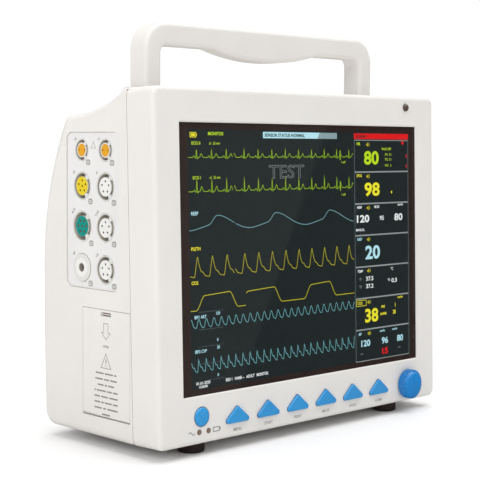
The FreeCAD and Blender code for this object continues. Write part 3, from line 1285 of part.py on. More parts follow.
def connectors():
    floor_y = f"{REAR} - dims.bay_sink"
    face = f"{floor_y} + dims.plate_t"
    mid = "((dims.bay_low + dims.bay_high) / 2)"
    inlet_x, fuse_x, ground_x, jack_x, video_x = (f"dims.bay_x + {dx}" for dx in (52, 14, -12, -34, -64))
    plate = span("plate_blank", about("dims.bay_x", "dims.bay_w - 3"), (floor_y, face),
                 ("dims.bay_low + 1.5", "dims.bay_high - 1.5"))
    holes = [
        span("inlet_cut", about(inlet_x, "28.4"), (f"{floor_y} - 1", f"{face} + 1"), about(mid, "20.4")),
        rod("fuse_cut_1", "5.2", (fuse_x, f"{floor_y} - 1", f"{mid} + 10"), "4", "y"),
        rod("fuse_cut_2", "5.2", (fuse_x, f"{floor_y} - 1", f"{mid} - 10"), "4", "y"),
        rod("ground_cut", "3.1", (ground_x, f"{floor_y} - 1", mid), "4", "y"),
        span("jack_cut", about(jack_x, "16.4"), (f"{floor_y} - 1", f"{face} + 1"), about(mid, "14.4")),
        span("video_cut", about(video_x, "17.4"), (f"{floor_y} - 1", f"{face} + 1"), about(mid, "9.4")),
    ]
    node(cut("plate", plate, holes), "connector_plate")

    flange = rounded("inlet_flange_round", span("inlet_flange", about(inlet_x, "50"),
                                                (face, f"{face} + 2"), about(mid, "24")),
                     "4", along("y"))
    body = span("inlet_body", about(inlet_x, "28"), (f"{face} - 20", f"{face} + 1"), about(mid, "20"))
    cavity = rounded("inlet_cavity_round", span("inlet_cavity", about(inlet_x, "24"),
                                                (f"{face} - 16", f"{face} + 3"), about(mid, "16")),
                     "3", along("y"))
    pins = [span(f"inlet_pin_{k}", about(f"{inlet_x} + {dx}", "2"), (f"{face} - 18", f"{face} - 3"),
                 about(f"{mid} + {dz}", "4"))
            for k, (dx, dz) in enumerate(((-7, -1.5), (7, -1.5), (0, 2.5)))]
    hollow = cut("inlet_hollow", fuse("inlet_blank", [flange, body]), [cavity])
    node(fuse("inlet", [hollow] + pins), "ac_inlet")

    caps = []
    for k, way in enumerate((1, -1)):
        z = f"{mid} + {way} * 10"
        cap = fuse(f"fuse_cap_blank_{k}", [rod(f"fuse_cap_{k}", "6.4", (fuse_x, face, z), "3.6", "y"),
                                           rod(f"fuse_body_{k}", "5", (fuse_x, f"{face} - 24", z), "25",
                                               "y")])
        slot = span(f"fuse_slot_{k}", about(fuse_x, "8"), (f"{face} + 2.2", f"{face} + 5"),
                    about(z, "1.2"))
        caps.append(cut(f"fuse_cap_part_{k}", cap, [slot]))
    node(group("fuses", caps), "fuse_caps")

    stud = fuse("stud", [rod("stud_shank", "3", (ground_x, f"{face} - 10", mid), "15.5", "y"),
                         rod("stud_nut", "5.5", (ground_x, face, mid), "2.2", "y")])
    node(stud, "ground_stud")

    jack = span("jack_body", about(jack_x, "16"), (f"{face} - 14", f"{face} + 0.6"), about(mid, "14"))
    jack_hole = span("jack_hole", about(jack_x, "12"), (f"{face} - 11", f"{face} + 2"), about(mid, "8"))
    jack_notch = span("jack_notch", about(jack_x, "5"), (f"{face} - 11", f"{face} + 2"),
                      about(f"{mid} + 4.5", "3"))
    node(cut("jack", jack, [jack_hole, jack_notch]), "network_jack")

    flange = span("video_flange", about(video_x, "31"), (face, f"{face} + 0.9"), about(mid, "12.5"))
    shell = span("video_shell", about(video_x, "17"), (f"{face} - 8", f"{face} + 5"), about(mid, "9"))
    hole = span("video_hole", about(video_x, "15.6"), (f"{face} - 0.5", f"{face} + 6"),
                about(mid, "7.6"))
    core = span("video_core", about(video_x, "14"), (f"{face} - 1", f"{face} + 3.4"), about(mid, "6"))
    shell_cut = cut("video_hollow", fuse("video_blank", [flange, shell]), [hole])
    pin_holes = [rod(f"video_pin_{row}_{k}", "0.5",
                     (f"{video_x} + {(k - 2) * 2.4}", f"{face}", f"{mid} + {(row - 1) * 2}"),
                     "5", "y") for row in range(3) for k in range(5)]
    node(cut("video", fuse("video_built", [shell_cut, core]), pin_holes), "video_port")


def rating_plate():
    gap = "0.3"
    plate = span("rating_blank", about("-dims.label_x", f"dims.label_w - {gap}"),
                 (f"{REAR} - dims.label_t", REAR),
                 about("dims.label_z", f"dims.label_h - {gap}"))
    node(rounded("rating_round", plate, "2", along("y")), "rating_plate")


# ---- build, check, write ---------------------------------------------------------------------------


def build():
    front_housing()
    screen()
    keys()
    power_button()
    indicator_leds()
    status_lens()
    keypad()
    dial()
    rear_case()
    handle()
    ports()
    side_door("door", -1, "battery_door", "11.6")
    recorder_door()
    door_pins()
    battery()
    recorder()
    feet()
    case_screws()
    boards()
    pump()
    power_supply()
    speaker()
    connectors()
    rating_plate()
    doc.recompute()


def faults():
    """Every object that failed, and every sub-part whose shape is missing or not valid."""
    found = [obj.Name for obj in doc.Objects if "Invalid" in obj.State or "Error" in obj.State]
    for obj in NODES:
        if obj.Shape.isNull() or not obj.Shape.isValid() or not obj.Shape.Solids:
            found.append(obj.Label)
    return found


def write():
    os.makedirs("parts", exist_ok=True)
    for obj in NODES:
        obj.Shape.exportStep(f"parts/{obj.Label}.step")


build()
broken = faults()
if broken:
    raise SystemExit("these objects failed: " + ", ".join(broken))
write()
whole = Part.makeCompound([obj.Shape for obj in NODES]).BoundBox
print(len(NODES), "nodes,", "x %.2f..%.2f y %.2f..%.2f z %.2f..%.2f" % (
    whole.XMin, whole.XMax, whole.YMin, whole.YMax, whole.ZMin, whole.ZMax))
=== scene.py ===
# %% [markdown]
# # Bedside patient monitor: the looks
#
# The imported model gives every solid piece at its real size and place. This script adds what a person
# sees: the finish of each material, the lit display with its traces and readouts, the printed marks,
# the ribs of the dial and the colours of the sockets. It ends with the floor, the lights and the
# camera.
#
# Everything is in metres: +X to the viewer's right, -Y out of the screen, +Z up. Flat drawings are
# written in millimetres, because that is how a panel is drawn up, and `MM` turns them into metres.

# %% [markdown]
# ## Load the frame
#
# Those meshes stay as they are. The bounds are taken first, and the lights later aim at their middle.

# %% Load the frame
import json
import math

import bmesh
import bpy
from mathutils import Matrix, Vector
from mathutils.geometry import convex_hull_2d


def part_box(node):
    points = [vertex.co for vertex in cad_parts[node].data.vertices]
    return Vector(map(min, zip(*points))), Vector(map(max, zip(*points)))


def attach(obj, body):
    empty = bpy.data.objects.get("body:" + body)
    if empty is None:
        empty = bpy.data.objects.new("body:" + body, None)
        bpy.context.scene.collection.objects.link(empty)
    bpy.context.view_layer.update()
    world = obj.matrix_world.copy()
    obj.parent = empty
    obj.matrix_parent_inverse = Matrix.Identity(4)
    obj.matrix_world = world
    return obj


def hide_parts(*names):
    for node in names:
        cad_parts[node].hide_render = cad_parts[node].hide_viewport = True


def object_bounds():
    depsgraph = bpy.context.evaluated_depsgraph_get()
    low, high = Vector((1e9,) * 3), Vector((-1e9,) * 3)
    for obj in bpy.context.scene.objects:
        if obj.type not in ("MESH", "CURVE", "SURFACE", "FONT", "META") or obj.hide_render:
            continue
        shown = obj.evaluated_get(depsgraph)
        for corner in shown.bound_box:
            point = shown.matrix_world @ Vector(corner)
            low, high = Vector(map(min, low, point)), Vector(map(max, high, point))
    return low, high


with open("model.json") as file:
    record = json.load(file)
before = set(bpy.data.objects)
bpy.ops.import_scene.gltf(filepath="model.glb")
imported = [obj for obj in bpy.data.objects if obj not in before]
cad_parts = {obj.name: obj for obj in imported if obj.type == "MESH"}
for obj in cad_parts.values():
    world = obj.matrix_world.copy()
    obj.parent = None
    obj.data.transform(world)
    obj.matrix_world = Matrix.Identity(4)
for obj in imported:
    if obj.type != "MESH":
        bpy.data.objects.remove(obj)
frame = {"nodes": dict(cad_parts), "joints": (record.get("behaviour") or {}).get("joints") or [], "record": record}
bounds_at_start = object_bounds()
nodes = frame["nodes"]
joints = {joint["name"]: joint for joint in frame["joints"]}
MM = 0.001

# %% [markdown]
# ## Faces to draw on
#
# Marks sit on the leaning front panel, on the left side and on the back. They could be placed corner
# by corner in the room's axes, but then every number would mix three directions. Instead each face
# gets one matrix. It has x to the right and y up as someone who looks at that face sees them, and z
# towards them, so a drawing is planned flat and put in place by one multiplication.
#
# The front panel leans back a little. The dial stands square to it, so the dial's axis gives the
# direction, and the panel stays right if the lean is changed in the model.

# %% Face matrices


def face_matrix(origin, right, up):
    """Places a flat drawing: x goes along right, y along up, and z points out of the face."""
    right, up = Vector(right), Vector(up)
    turn = Matrix((right, up, right.cross(up))).transposed().to_4x4()
    return Matrix.Translation(Vector(origin)) @ turn


DIAL_X, DIAL_DROP = 118 * MM, 117.4 * MM  # from the middle of the panel
RIGHT = Vector((1, 0, 0))
INWARD = Vector(joints["dial_spin"]["axis"]).normalized()
RISE = RIGHT.cross(INWARD)
SCREEN_CENTRE = Vector(joints["dial_spin"]["pos_m"]) - DIAL_X * RIGHT + DIAL_DROP * RISE


def panel(depth=0.0):
    """The front panel's face matrix, sunk by a depth."""
    return face_matrix(SCREEN_CENTRE + depth * INWARD, RIGHT, RISE)


HALF_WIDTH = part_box("rear_case")[1].x
PORT_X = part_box("port_panel")[0].x
LEFT = face_matrix((-HALF_WIDTH, 0, 0), (0, -1, 0), (0, 0, 1))
PORTS = face_matrix((PORT_X, 0, 0), (0, -1, 0), (0, 0, 1))
print("screen centre", [round(c, 4) for c in SCREEN_CENTRE])

# %% [markdown]
# ## Shared shader effects
#
# Moulded plastic, drawn metal and handled surfaces share a few effects: a fine grain, an uneven gloss
# and brushed lines. Copying those nodes into every material would work, but a later change would have
# to be made many times. A node group is built once and gives out only a mask, a value or a normal.
# The surface shader itself stays in each material, so a finish can be read in one place.

# %% Shader helpers


def linear(red, green, blue):
    """A colour given as 0-255 screen values, in the linear values that shaders use."""
    def convert(channel):
        share = channel / 255
        return share / 12.92 if share <= 0.04045 else ((share + 0.055) / 1.055) ** 2.4
    return (convert(red), convert(green), convert(blue), 1.0)


def effect(name, inputs, outputs):
    """A new node group with float inputs (name: default) and outputs (name: socket type)."""
    group = bpy.data.node_groups.new(name, "ShaderNodeTree")
    for label, default in inputs.items():
        socket = group.interface.new_socket(label, in_out="INPUT", socket_type="NodeSocketFloat")
        socket.default_value = default
    for label, kind in outputs.items():
        group.interface.new_socket(label, in_out="OUTPUT", socket_type=kind)
    start = group.nodes.new("NodeGroupInput")
    end = group.nodes.new("NodeGroupOutput")
    return group, start.outputs, end.inputs


def add(tree, kind, inputs=None, **settings):
    """A node with its settings, and its inputs given as values or linked from sockets."""
    made = tree.nodes.new(kind)
    for name, setting in settings.items():
        setattr(made, name, setting)
    for key, source in (inputs or {}).items():
        if isinstance(source, bpy.types.NodeSocket):
            tree.links.new(source, made.inputs[key])
        else:
            made.inputs[key].default_value = source
    return made


def noise(tree, scale, detail=2.0, roughness=0.5):
    """Noise over the object's own coordinates."""
    place = add(tree, "ShaderNodeTexCoord").outputs["Object"]
    return add(tree, "ShaderNodeTexNoise",
               {"Vector": place, "Scale": scale, "Detail": detail, "Roughness": roughness}).outputs["Fac"]


# %% [markdown]
# ### Moulded grain
#
# The mould of a case is etched so that the plastic comes out faintly matt. Modelling those bumps would
# take millions of faces. A bump node over fine noise gives the same soft highlight for nothing.

# %% Moulded grain
grain_group, given, result = effect(
    "moulded_grain", {"Scale": 2200.0, "Depth": 0.12, "Reach": 0.00006}, {"Normal": "NodeSocketVector"})
fine = noise(grain_group, given["Scale"], 3.0, 0.62)
bump = add(grain_group, "ShaderNodeBump",
           {"Height": fine, "Strength": given["Depth"], "Distance": given["Reach"]})
grain_group.links.new(bump.outputs["Normal"], result["Normal"])

# %% [markdown]
# ### Handling
#
# Hands and cleaning cloths polish a case unevenly. Broad noise picks a roughness between a low and a
# high value, and its mask also mixes two close tones, so that no surface is one flat colour.

# %% Handling
handling_group, given, result = effect("handling", {"Low": 0.4, "High": 0.5, "Scale": 14.0},
                                       {"Roughness": "NodeSocketFloat", "Mask": "NodeSocketFloat"})
broad = noise(handling_group, given["Scale"], 5.0, 0.6)
mask = add(handling_group, "ShaderNodeMapRange", {"Value": broad, "From Min": 0.35, "From Max": 0.65})
spread = add(handling_group, "ShaderNodeMapRange",
             {"Value": mask.outputs["Result"], "To Min": given["Low"], "To Max": given["High"]})
handling_group.links.new(spread.outputs["Result"], result["Roughness"])
handling_group.links.new(mask.outputs["Result"], result["Mask"])

# %% [markdown]
# ### Brushing
#
# Rolled sheet shows fine lines in one direction. Noise becomes lines when its coordinates are squeezed
# along one axis, which needs no picture and no unwrapping.

# %% Brushing
brushed_group, given, result = effect("brushing", {"Scale": 900.0, "Depth": 0.25, "Squeeze": 0.02},
                                      {"Normal": "NodeSocketVector", "Lines": "NodeSocketFloat"})
place = add(brushed_group, "ShaderNodeTexCoord").outputs["Object"]
stretch = add(brushed_group, "ShaderNodeCombineXYZ", {"X": given["Squeeze"], "Y": 1.0, "Z": 1.0})
stretched = add(brushed_group, "ShaderNodeVectorMath", {0: place, 1: stretch.outputs["Vector"]},
                operation="MULTIPLY")
lines = add(brushed_group, "ShaderNodeTexNoise",
            {"Vector": stretched.outputs["Vector"], "Scale": given["Scale"], "Detail": 2.0})
bump = add(brushed_group, "ShaderNodeBump",
           {"Height": lines.outputs["Fac"], "Strength": given["Depth"], "Distance": 0.00003})
brushed_group.links.new(bump.outputs["Normal"], result["Normal"])
brushed_group.links.new(lines.outputs["Fac"], result["Lines"])

# %% [markdown]
# ### Socket zones
#
# Each lead socket is one moulded body with a pale rim and a coloured insert. Its keyed slot is painted taupe and
# most of its pin holes dark, as painted shade in the hollows. Cutting the mesh into four materials would change
# the imported piece. Two masks do it instead: how far a point lies from the socket's axis, and whether it lies
# behind the front face.

# %% Socket zones
zone_group, given, result = effect(
    "socket_zones", {"Centre Y": 0.0, "Centre Z": 0.0, "Insert Radius": 0.007, "Sunk From": 0.0},
    {"Insert": "NodeSocketFloat", "Sunk": "NodeSocketFloat"})
axes = add(zone_group, "ShaderNodeSeparateXYZ",
           {0: add(zone_group, "ShaderNodeTexCoord").outputs["Object"]})
from_y = add(zone_group, "ShaderNodeMath", {0: axes.outputs["Y"], 1: given["Centre Y"]},
             operation="SUBTRACT")
from_z = add(zone_group, "ShaderNodeMath", {0: axes.outputs["Z"], 1: given["Centre Z"]},
             operation="SUBTRACT")
arm = add(zone_group, "ShaderNodeCombineXYZ",
          {"Y": from_y.outputs["Value"], "Z": from_z.outputs["Value"]})
reach = add(zone_group, "ShaderNodeVectorMath", {0: arm.outputs["Vector"]}, operation="LENGTH")
inside = add(zone_group, "ShaderNodeMath", {0: reach.outputs["Value"], 1: given["Insert Radius"]},
             operation="LESS_THAN")
sunk = add(zone_group, "ShaderNodeMath", {0: axes.outputs["X"], 1: given["Sunk From"]},
           operation="GREATER_THAN")
zone_group.links.new(inside.outputs["Value"], result["Insert"])
zone_group.links.new(sunk.outputs["Value"], result["Sunk"])
print("effects", [group.name for group in bpy.data.node_groups])

# %% [markdown]
# ## Materials
#
# The case is warm white moulded plastic, the keys and the dial are glossy blue, the feet are dark
# rubber, and steel, brass and aluminium sit inside. Most of them differ only in colour, gloss and
# grain, so one maker builds them all from a base colour and a second tone. Metals get their own maker,
# because they are brushed instead of grained. Colours are given as 0-255 screen values, which are
# easy to pick, and `linear` turns them into what the shader works with.

# %% Material maker


def use(tree, group, **values):
    """A group node in a material, with its float inputs set."""
    made = add(tree, "ShaderNodeGroup", node_tree=group)
    for name, value in values.items():
        made.inputs[name].default_value = value
    return made


def finish_material(name, base, tone, low, high, grain=2200.0, depth=0.12, scale=14.0, reach=0.00006,
                    **surface):
    """A two-tone finish with grain and handling; surface sets more inputs of the surface shader."""
    material = bpy.data.materials.new(name)
    material.use_nodes = True
    tree = material.node_tree
    shader = tree.nodes["Principled BSDF"]
    worn = use(tree, handling_group, Low=low, High=high, Scale=scale)
    colour = add(tree, "ShaderNodeMix", {"Factor": worn.outputs["Mask"]}, data_type="RGBA")
    colour.inputs[6].default_value = base
    colour.inputs[7].default_value = tone
    tree.links.new(colour.outputs[2], shader.inputs["Base Color"])
    tree.links.new(worn.outputs["Roughness"], shader.inputs["Roughness"])
    texture = use(tree, grain_group, Scale=grain, Depth=depth, Reach=reach)
    tree.links.new(texture.outputs["Normal"], shader.inputs["Normal"])
    for key, value in surface.items():
        shader.inputs[key.replace("_", " ")].default_value = value
    return material


def metal_material(name, base, tone, low, high, scale=900.0, depth=0.25):
    """Brushed or drawn metal."""
    material = bpy.data.materials.new(name)
    material.use_nodes = True
    tree = material.node_tree
    shader = tree.nodes["Principled BSDF"]
    drawn = use(tree, brushed_group, Scale=scale, Depth=depth)
    worn = use(tree, handling_group, Low=low, High=high, Scale=40.0)
    colour = add(tree, "ShaderNodeMix", {"Factor": drawn.outputs["Lines"]}, data_type="RGBA")
    colour.inputs[6].default_value = base
    colour.inputs[7].default_value = tone
    tree.links.new(colour.outputs[2], shader.inputs["Base Color"])
    tree.links.new(worn.outputs["Roughness"], shader.inputs["Roughness"])
    tree.links.new(drawn.outputs["Normal"], shader.inputs["Normal"])
    shader.inputs["Metallic"].default_value = 1.0
    return material


def lit_material(name, colour):
    """A glowing mark on the display, a little uneven, over a dark surface."""
    material = bpy.data.materials.new(name)
    material.use_nodes = True
    tree = material.node_tree
    shader = tree.nodes["Principled BSDF"]
    uneven = add(tree, "ShaderNodeMapRange",
                 {"Value": noise(tree, 45.0, 3.0), "To Min": 0.86, "To Max": 1.14})
    glow = add(tree, "ShaderNodeVectorMath", {0: colour[:3], "Scale": uneven.outputs["Result"]},
               operation="SCALE")
    tree.links.new(glow.outputs["Vector"], shader.inputs["Emission Color"])
    shader.inputs["Emission Strength"].default_value = 1.0
    shader.inputs["Base Color"].default_value = (0.005, 0.005, 0.005, 1)
    shader.inputs["Roughness"].default_value = 0.5
    return material


# %% [markdown]
# ### Plastics, rubber, foam and paper
#
# Each line gives two close tones, the lowest and highest roughness, and the scale and depth of the
# grain. Keys and dial get a thin clear coat, because they are polished. Rubber and foam are rough with
# a deep grain. Picture textures could be used, but these surfaces are plain, so noise is enough.

# %% Plastics
case_white = finish_material("case_white", linear(232, 229, 225), linear(228, 225, 221), 0.40, 0.48,
                             1500.0, 0.16)
panel_grey = finish_material("panel_grey", linear(231, 230, 228), linear(226, 225, 223), 0.36, 0.44,
                             1800.0, 0.10)
key_blue = finish_material("key_blue", linear(52, 154, 218), linear(46, 147, 212), 0.24, 0.33,
                           2600.0, 0.05, Coat_Weight=0.25, Coat_Roughness=0.15)
dial_blue = finish_material("dial_blue", linear(20, 136, 210), linear(16, 129, 203), 0.2, 0.3,
                            2600.0, 0.04, Coat_Weight=0.4, Coat_Roughness=0.12)
black_plastic = finish_material("black_plastic", linear(38, 38, 40), linear(46, 46, 48), 0.42, 0.58,
                                1800.0, 0.2)
socket_white = finish_material("socket_white", linear(236, 235, 230), linear(230, 229, 224), 0.26, 0.36,
                               2600.0, 0.05)
socket_yellow = finish_material("socket_yellow", linear(226, 186, 38), linear(218, 178, 32), 0.26, 0.36,
                                2600.0, 0.05)
socket_orange = finish_material("socket_orange", linear(228, 152, 44), linear(220, 144, 38), 0.26, 0.36,
                                2600.0, 0.05)
socket_green = finish_material("socket_green", linear(0, 142, 122), linear(0, 134, 114), 0.26, 0.36,
                               2600.0, 0.05)
smoked = finish_material("smoked_lens", linear(78, 66, 60), linear(90, 78, 70), 0.08, 0.16, 2600.0, 0.02,
                         Coat_Weight=0.6)
lamp = finish_material("lamp_lens", linear(128, 112, 100), linear(140, 124, 110), 0.12, 0.2, 2600.0, 0.03,
                       Coat_Weight=0.5)
rubber = finish_material("soft_rubber", linear(46, 33, 30), linear(54, 42, 38), 0.62, 0.8, 1200.0, 0.35)
foam = finish_material("gasket_foam", linear(30, 28, 28), linear(40, 38, 38), 0.85, 0.95, 900.0, 0.9)
battery_wrap = finish_material("battery_wrap", linear(24, 50, 92), linear(30, 58, 102), 0.2, 0.34, 700.0,
                               0.2)
paper = finish_material("thermal_paper", linear(240, 238, 230), linear(234, 232, 224), 0.6, 0.72, 3000.0,
                        0.15)
label_foil = finish_material("label_foil", linear(206, 208, 210), linear(196, 198, 200), 0.3, 0.42,
                             1500.0, 0.08)

# %% [markdown]
# ### Metals
#
# Folded sheet is brushed coarsely, turned pins and brass inserts finely. Hardly any of it shows, so
# one maker with a different scale for each is enough.

# %% Metals
sheet_steel = metal_material("sheet_steel", linear(188, 190, 192), linear(160, 162, 165), 0.3, 0.42)
turned_steel = metal_material("turned_steel", linear(200, 200, 202), linear(176, 176, 180), 0.2, 0.3,
                              2400.0, 0.1)
brass = metal_material("brass", linear(214, 178, 104), linear(190, 152, 82), 0.22, 0.34, 2400.0, 0.12)
aluminium = metal_material("aluminium", linear(206, 208, 210), linear(184, 186, 190), 0.3, 0.42, 1200.0,
                           0.15)

print("plain finishes and metals", len(bpy.data.materials))

# %% [markdown]
# ### Circuit boards
#
# The boards sit deep in the case and are hardly seen, so drawn tracks would be wasted work. A brick
# pattern over the green coating is enough to read as copper tracks.

# %% Circuit board
circuit = finish_material("circuit_board", linear(18, 92, 52), linear(24, 104, 60), 0.28, 0.4, 2400.0,
                          0.08)
tree = circuit.node_tree
shader = tree.nodes["Principled BSDF"]
place = add(tree, "ShaderNodeTexCoord").outputs["Object"]
tracks = add(tree, "ShaderNodeTexBrick", {"Vector": place, "Scale": 160.0, "Mortar Size": 0.03})
tracks.inputs["Color1"].default_value = linear(16, 84, 48)
tracks.inputs["Color2"].default_value = linear(20, 98, 56)
tracks.inputs["Mortar"].default_value = linear(60, 140, 84)
tree.links.new(tracks.outputs["Color"], shader.inputs["Base Color"])

# %% [markdown]
# ### Display glass
#
# The sheet in front of the display is clear, with a faint film where it was wiped. Real glass both
# transmits and reflects, so it gets full transmission and the roughness of the handling effect,
# rather than a see-through colour without reflections.
#
# The renderer sends little light on through solid glass, so the brown border ink behind it gets a faint painted
# glow in place of that light. The unlit module stays dark.

# %% Display glass
glass = bpy.data.materials.new("display_glass")
glass.use_nodes = True
tree = glass.node_tree
shader = tree.nodes["Principled BSDF"]
film = use(tree, handling_group, Low=0.015, High=0.045, Scale=9.0)
tree.links.new(film.outputs["Roughness"], shader.inputs["Roughness"])
shader.inputs["Base Color"].default_value = (0.96, 0.97, 0.97, 1)
shader.inputs["IOR"].default_value = 1.5
shader.inputs["Transmission Weight"].default_value = 1.0

# %% Border ink with a painted glow, and the unlit display
# The emission here is painted light: a faint glow in place of the light that the glass holds back.
border_ink_painted_glow = finish_material("border_ink_painted_glow", linear(66, 50, 47), linear(61, 46, 43), 0.5, 0.6, 2600.0, 0.02,
                             Emission_Color=(0.014, 0.006, 0.004, 1), Emission_Strength=1.0)
display_dark = finish_material("display_dark", linear(14, 17, 18), linear(16, 20, 21), 0.4, 0.5, 2600.0,
                               0.02)
print(len(bpy.data.materials), "materials")

# %% [markdown]
# ### One finish for each slot
#
# The record of the model names a material slot for each piece. A dictionary from slot name to material
# dresses all pieces in one loop, and a new piece in the model is dressed without a new line here. The
# rear connector plate is the one exception: it is painted, not bare.

# %% Give every node its finish
FINISH = {
    "case_plastic": case_white, "panel_plastic": panel_grey, "glass": glass, "foam": foam,
    "display": display_dark, "sheet_steel": sheet_steel, "steel": turned_steel, "blue_plastic": key_blue,
    "circuit_board": circuit, "black_plastic": black_plastic, "smoked_lens": smoked, "lamp_lens": lamp,
    "rubber": rubber, "brass": brass, "aluminium": aluminium, "battery_wrap": battery_wrap,
    "paper": paper, "label": label_foil, "white_socket": socket_white, "yellow_socket": socket_yellow,
    "orange_socket": socket_orange, "green_socket": socket_green,
}
slot_of = {part["node"]: part["material_slot"] for part in frame["record"]["subparts"]}
plate_paint = finish_material("plate_paint", linear(150, 152, 154), linear(142, 144, 147), 0.36, 0.46,
                              1500.0, 0.1)
for name, node in nodes.items():
    for slot in node.material_slots:
        slot.material = plate_paint if name == "connector_plate" else FINISH[slot_of[name]]
print("finished", len(slot_of), "nodes")

# %% [markdown]
# ### Socket colours
#
# The colour of a socket tells staff which lead belongs in it. Here both temperature sockets are orange, one
# pressure socket is yellow, the heart socket is green and the others are plain. All eight share one maker, because
# only the insert and the holes differ in colour. The holes' colour is painted shade, except for the heart socket's
# red pins.

# %% Socket colours


def mixed(tree, share, first, second):
    """The colour between two colours or colour sockets."""
    made = add(tree, "ShaderNodeMix", {"Factor": share}, data_type="RGBA")
    for slot, colour in ((6, first), (7, second)):
        if isinstance(colour, bpy.types.NodeSocket):
            tree.links.new(colour, made.inputs[slot])
        else:
            made.inputs[slot].default_value = colour
    return made.outputs[2]


# The groove colour is painted shade in the keyed slot.
SOCKET_RIM, SOCKET_GROOVE_SHADE = linear(222, 221, 217), linear(186, 180, 170)


def socket_material(name, insert, hole, insert_share):
    """One socket's finish; insert_share is the insert's radius as a share of the socket's."""
    low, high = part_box(name)
    material = finish_material(name + "_finish", SOCKET_RIM, SOCKET_RIM, 0.28, 0.38, 2600.0, 0.05)
    tree = material.node_tree
    zones = use(tree, zone_group, **{
        "Centre Y": (low.y + high.y) / 2, "Centre Z": (low.z + high.z) / 2,
        "Insert Radius": (high.z - low.z) / 2 * insert_share, "Sunk From": low.x + 0.6 * MM})
    face = mixed(tree, zones.outputs["Insert"], SOCKET_RIM, insert)
    # Behind the front face, the slot and the holes take darker colours as painted shade.
    depths = mixed(tree, zones.outputs["Insert"], SOCKET_GROOVE_SHADE, hole)
    colour = mixed(tree, zones.outputs["Sunk"], face, depths)
    dusty = add(tree, "ShaderNodeVectorMath", {0: colour, "Scale": 0.94}, operation="SCALE")
    worn = next(made for made in tree.nodes if made.type == "GROUP" and made.node_tree == handling_group)
    tree.links.new(mixed(tree, worn.outputs["Mask"], colour, dusty.outputs["Vector"]),
                   tree.nodes["Principled BSDF"].inputs["Base Color"])
    return material


# The dark, warm and grey hole colours are painted shade in the pin holes. The heart socket's holes show red pins.
ORANGE, AMBER, GREEN = linear(228, 164, 36), linear(230, 204, 34), linear(0, 146, 134)
PALE, DARK_HOLE_SHADE, WARM_HOLE_SHADE = linear(236, 235, 231), linear(44, 36, 34), linear(96, 60, 50)
RED_PIN, GREY_HOLE_SHADE = linear(214, 96, 92), linear(176, 170, 162)
SOCKET_COLOURS = {
    "temp_socket_1": (ORANGE, DARK_HOLE_SHADE), "temp_socket_2": (ORANGE, DARK_HOLE_SHADE),
    "ibp_socket_1": (PALE, DARK_HOLE_SHADE), "ibp_socket_2": (AMBER, WARM_HOLE_SHADE),
    "resp_socket": (PALE, DARK_HOLE_SHADE), "ecg_socket": (GREEN, RED_PIN),
    "spo2_socket": (PALE, DARK_HOLE_SHADE), "nibp_port": (PALE, GREY_HOLE_SHADE),
}
TEMP_INSERT, LEAD_INSERT = 0.58, 0.672
for name, (insert, hole) in SOCKET_COLOURS.items():
    for slot in nodes[name].material_slots:
        share = TEMP_INSERT if name.startswith("temp") else LEAD_INSERT
        slot.material = socket_material(name, insert, hole, share)
print("sockets", len(SOCKET_COLOURS))

# %% [markdown]
# ## Softened edges
#
# No moulded edge is perfectly sharp, and a tiny round edge catches the light. The bevel could be cut
# into the mesh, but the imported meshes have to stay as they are, so it is a modifier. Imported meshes
# are loose triangles, so a weld modifier first joins them into surfaces that have edges to bevel.

# %% Edge bevels
BEVELS = {
    "battery_door": 0.35, "recorder_door": 0.35, "port_panel": 0.25, "rating_plate": 0.1,
    "temp_socket_1": 0.15, "temp_socket_2": 0.15, "ibp_socket_1": 0.15, "ibp_socket_2": 0.15,
    "resp_socket": 0.15, "ecg_socket": 0.15, "spo2_socket": 0.15, "ac_inlet": 0.3,
    "connector_plate": 0.12, "menu_key": 0.45, "start_key": 0.45, "record_key": 0.45,
    "silence_key": 0.45, "freeze_key": 0.45, "main_key": 0.45, "power_button": 0.45,
}
for name, width in BEVELS.items():
    node = nodes[name]
    weld = node.modifiers.new("join_edges", "WELD")
    weld.merge_threshold = 0.00001
    bevel = node.modifiers.new("soft_edge", "BEVEL")
    bevel.width = width * MM
    bevel.segments = 2
    bevel.limit_method = "ANGLE"
    bevel.angle_limit = math.radians(50)
    bevel.harden_normals = True
print("bevelled", len(BEVELS), "nodes")

# %% [markdown]
# ## Flat drawings
#
# Captions, symbols, traces and readouts are all flat marks. An image texture could carry them, but it
# would blur close up. Separate text objects would be many. A `Drawing` gathers the marks of one ink
# on one face and turns them into one closed mesh as thin as ink, which stays sharp at any distance.

# %% Drawing kit


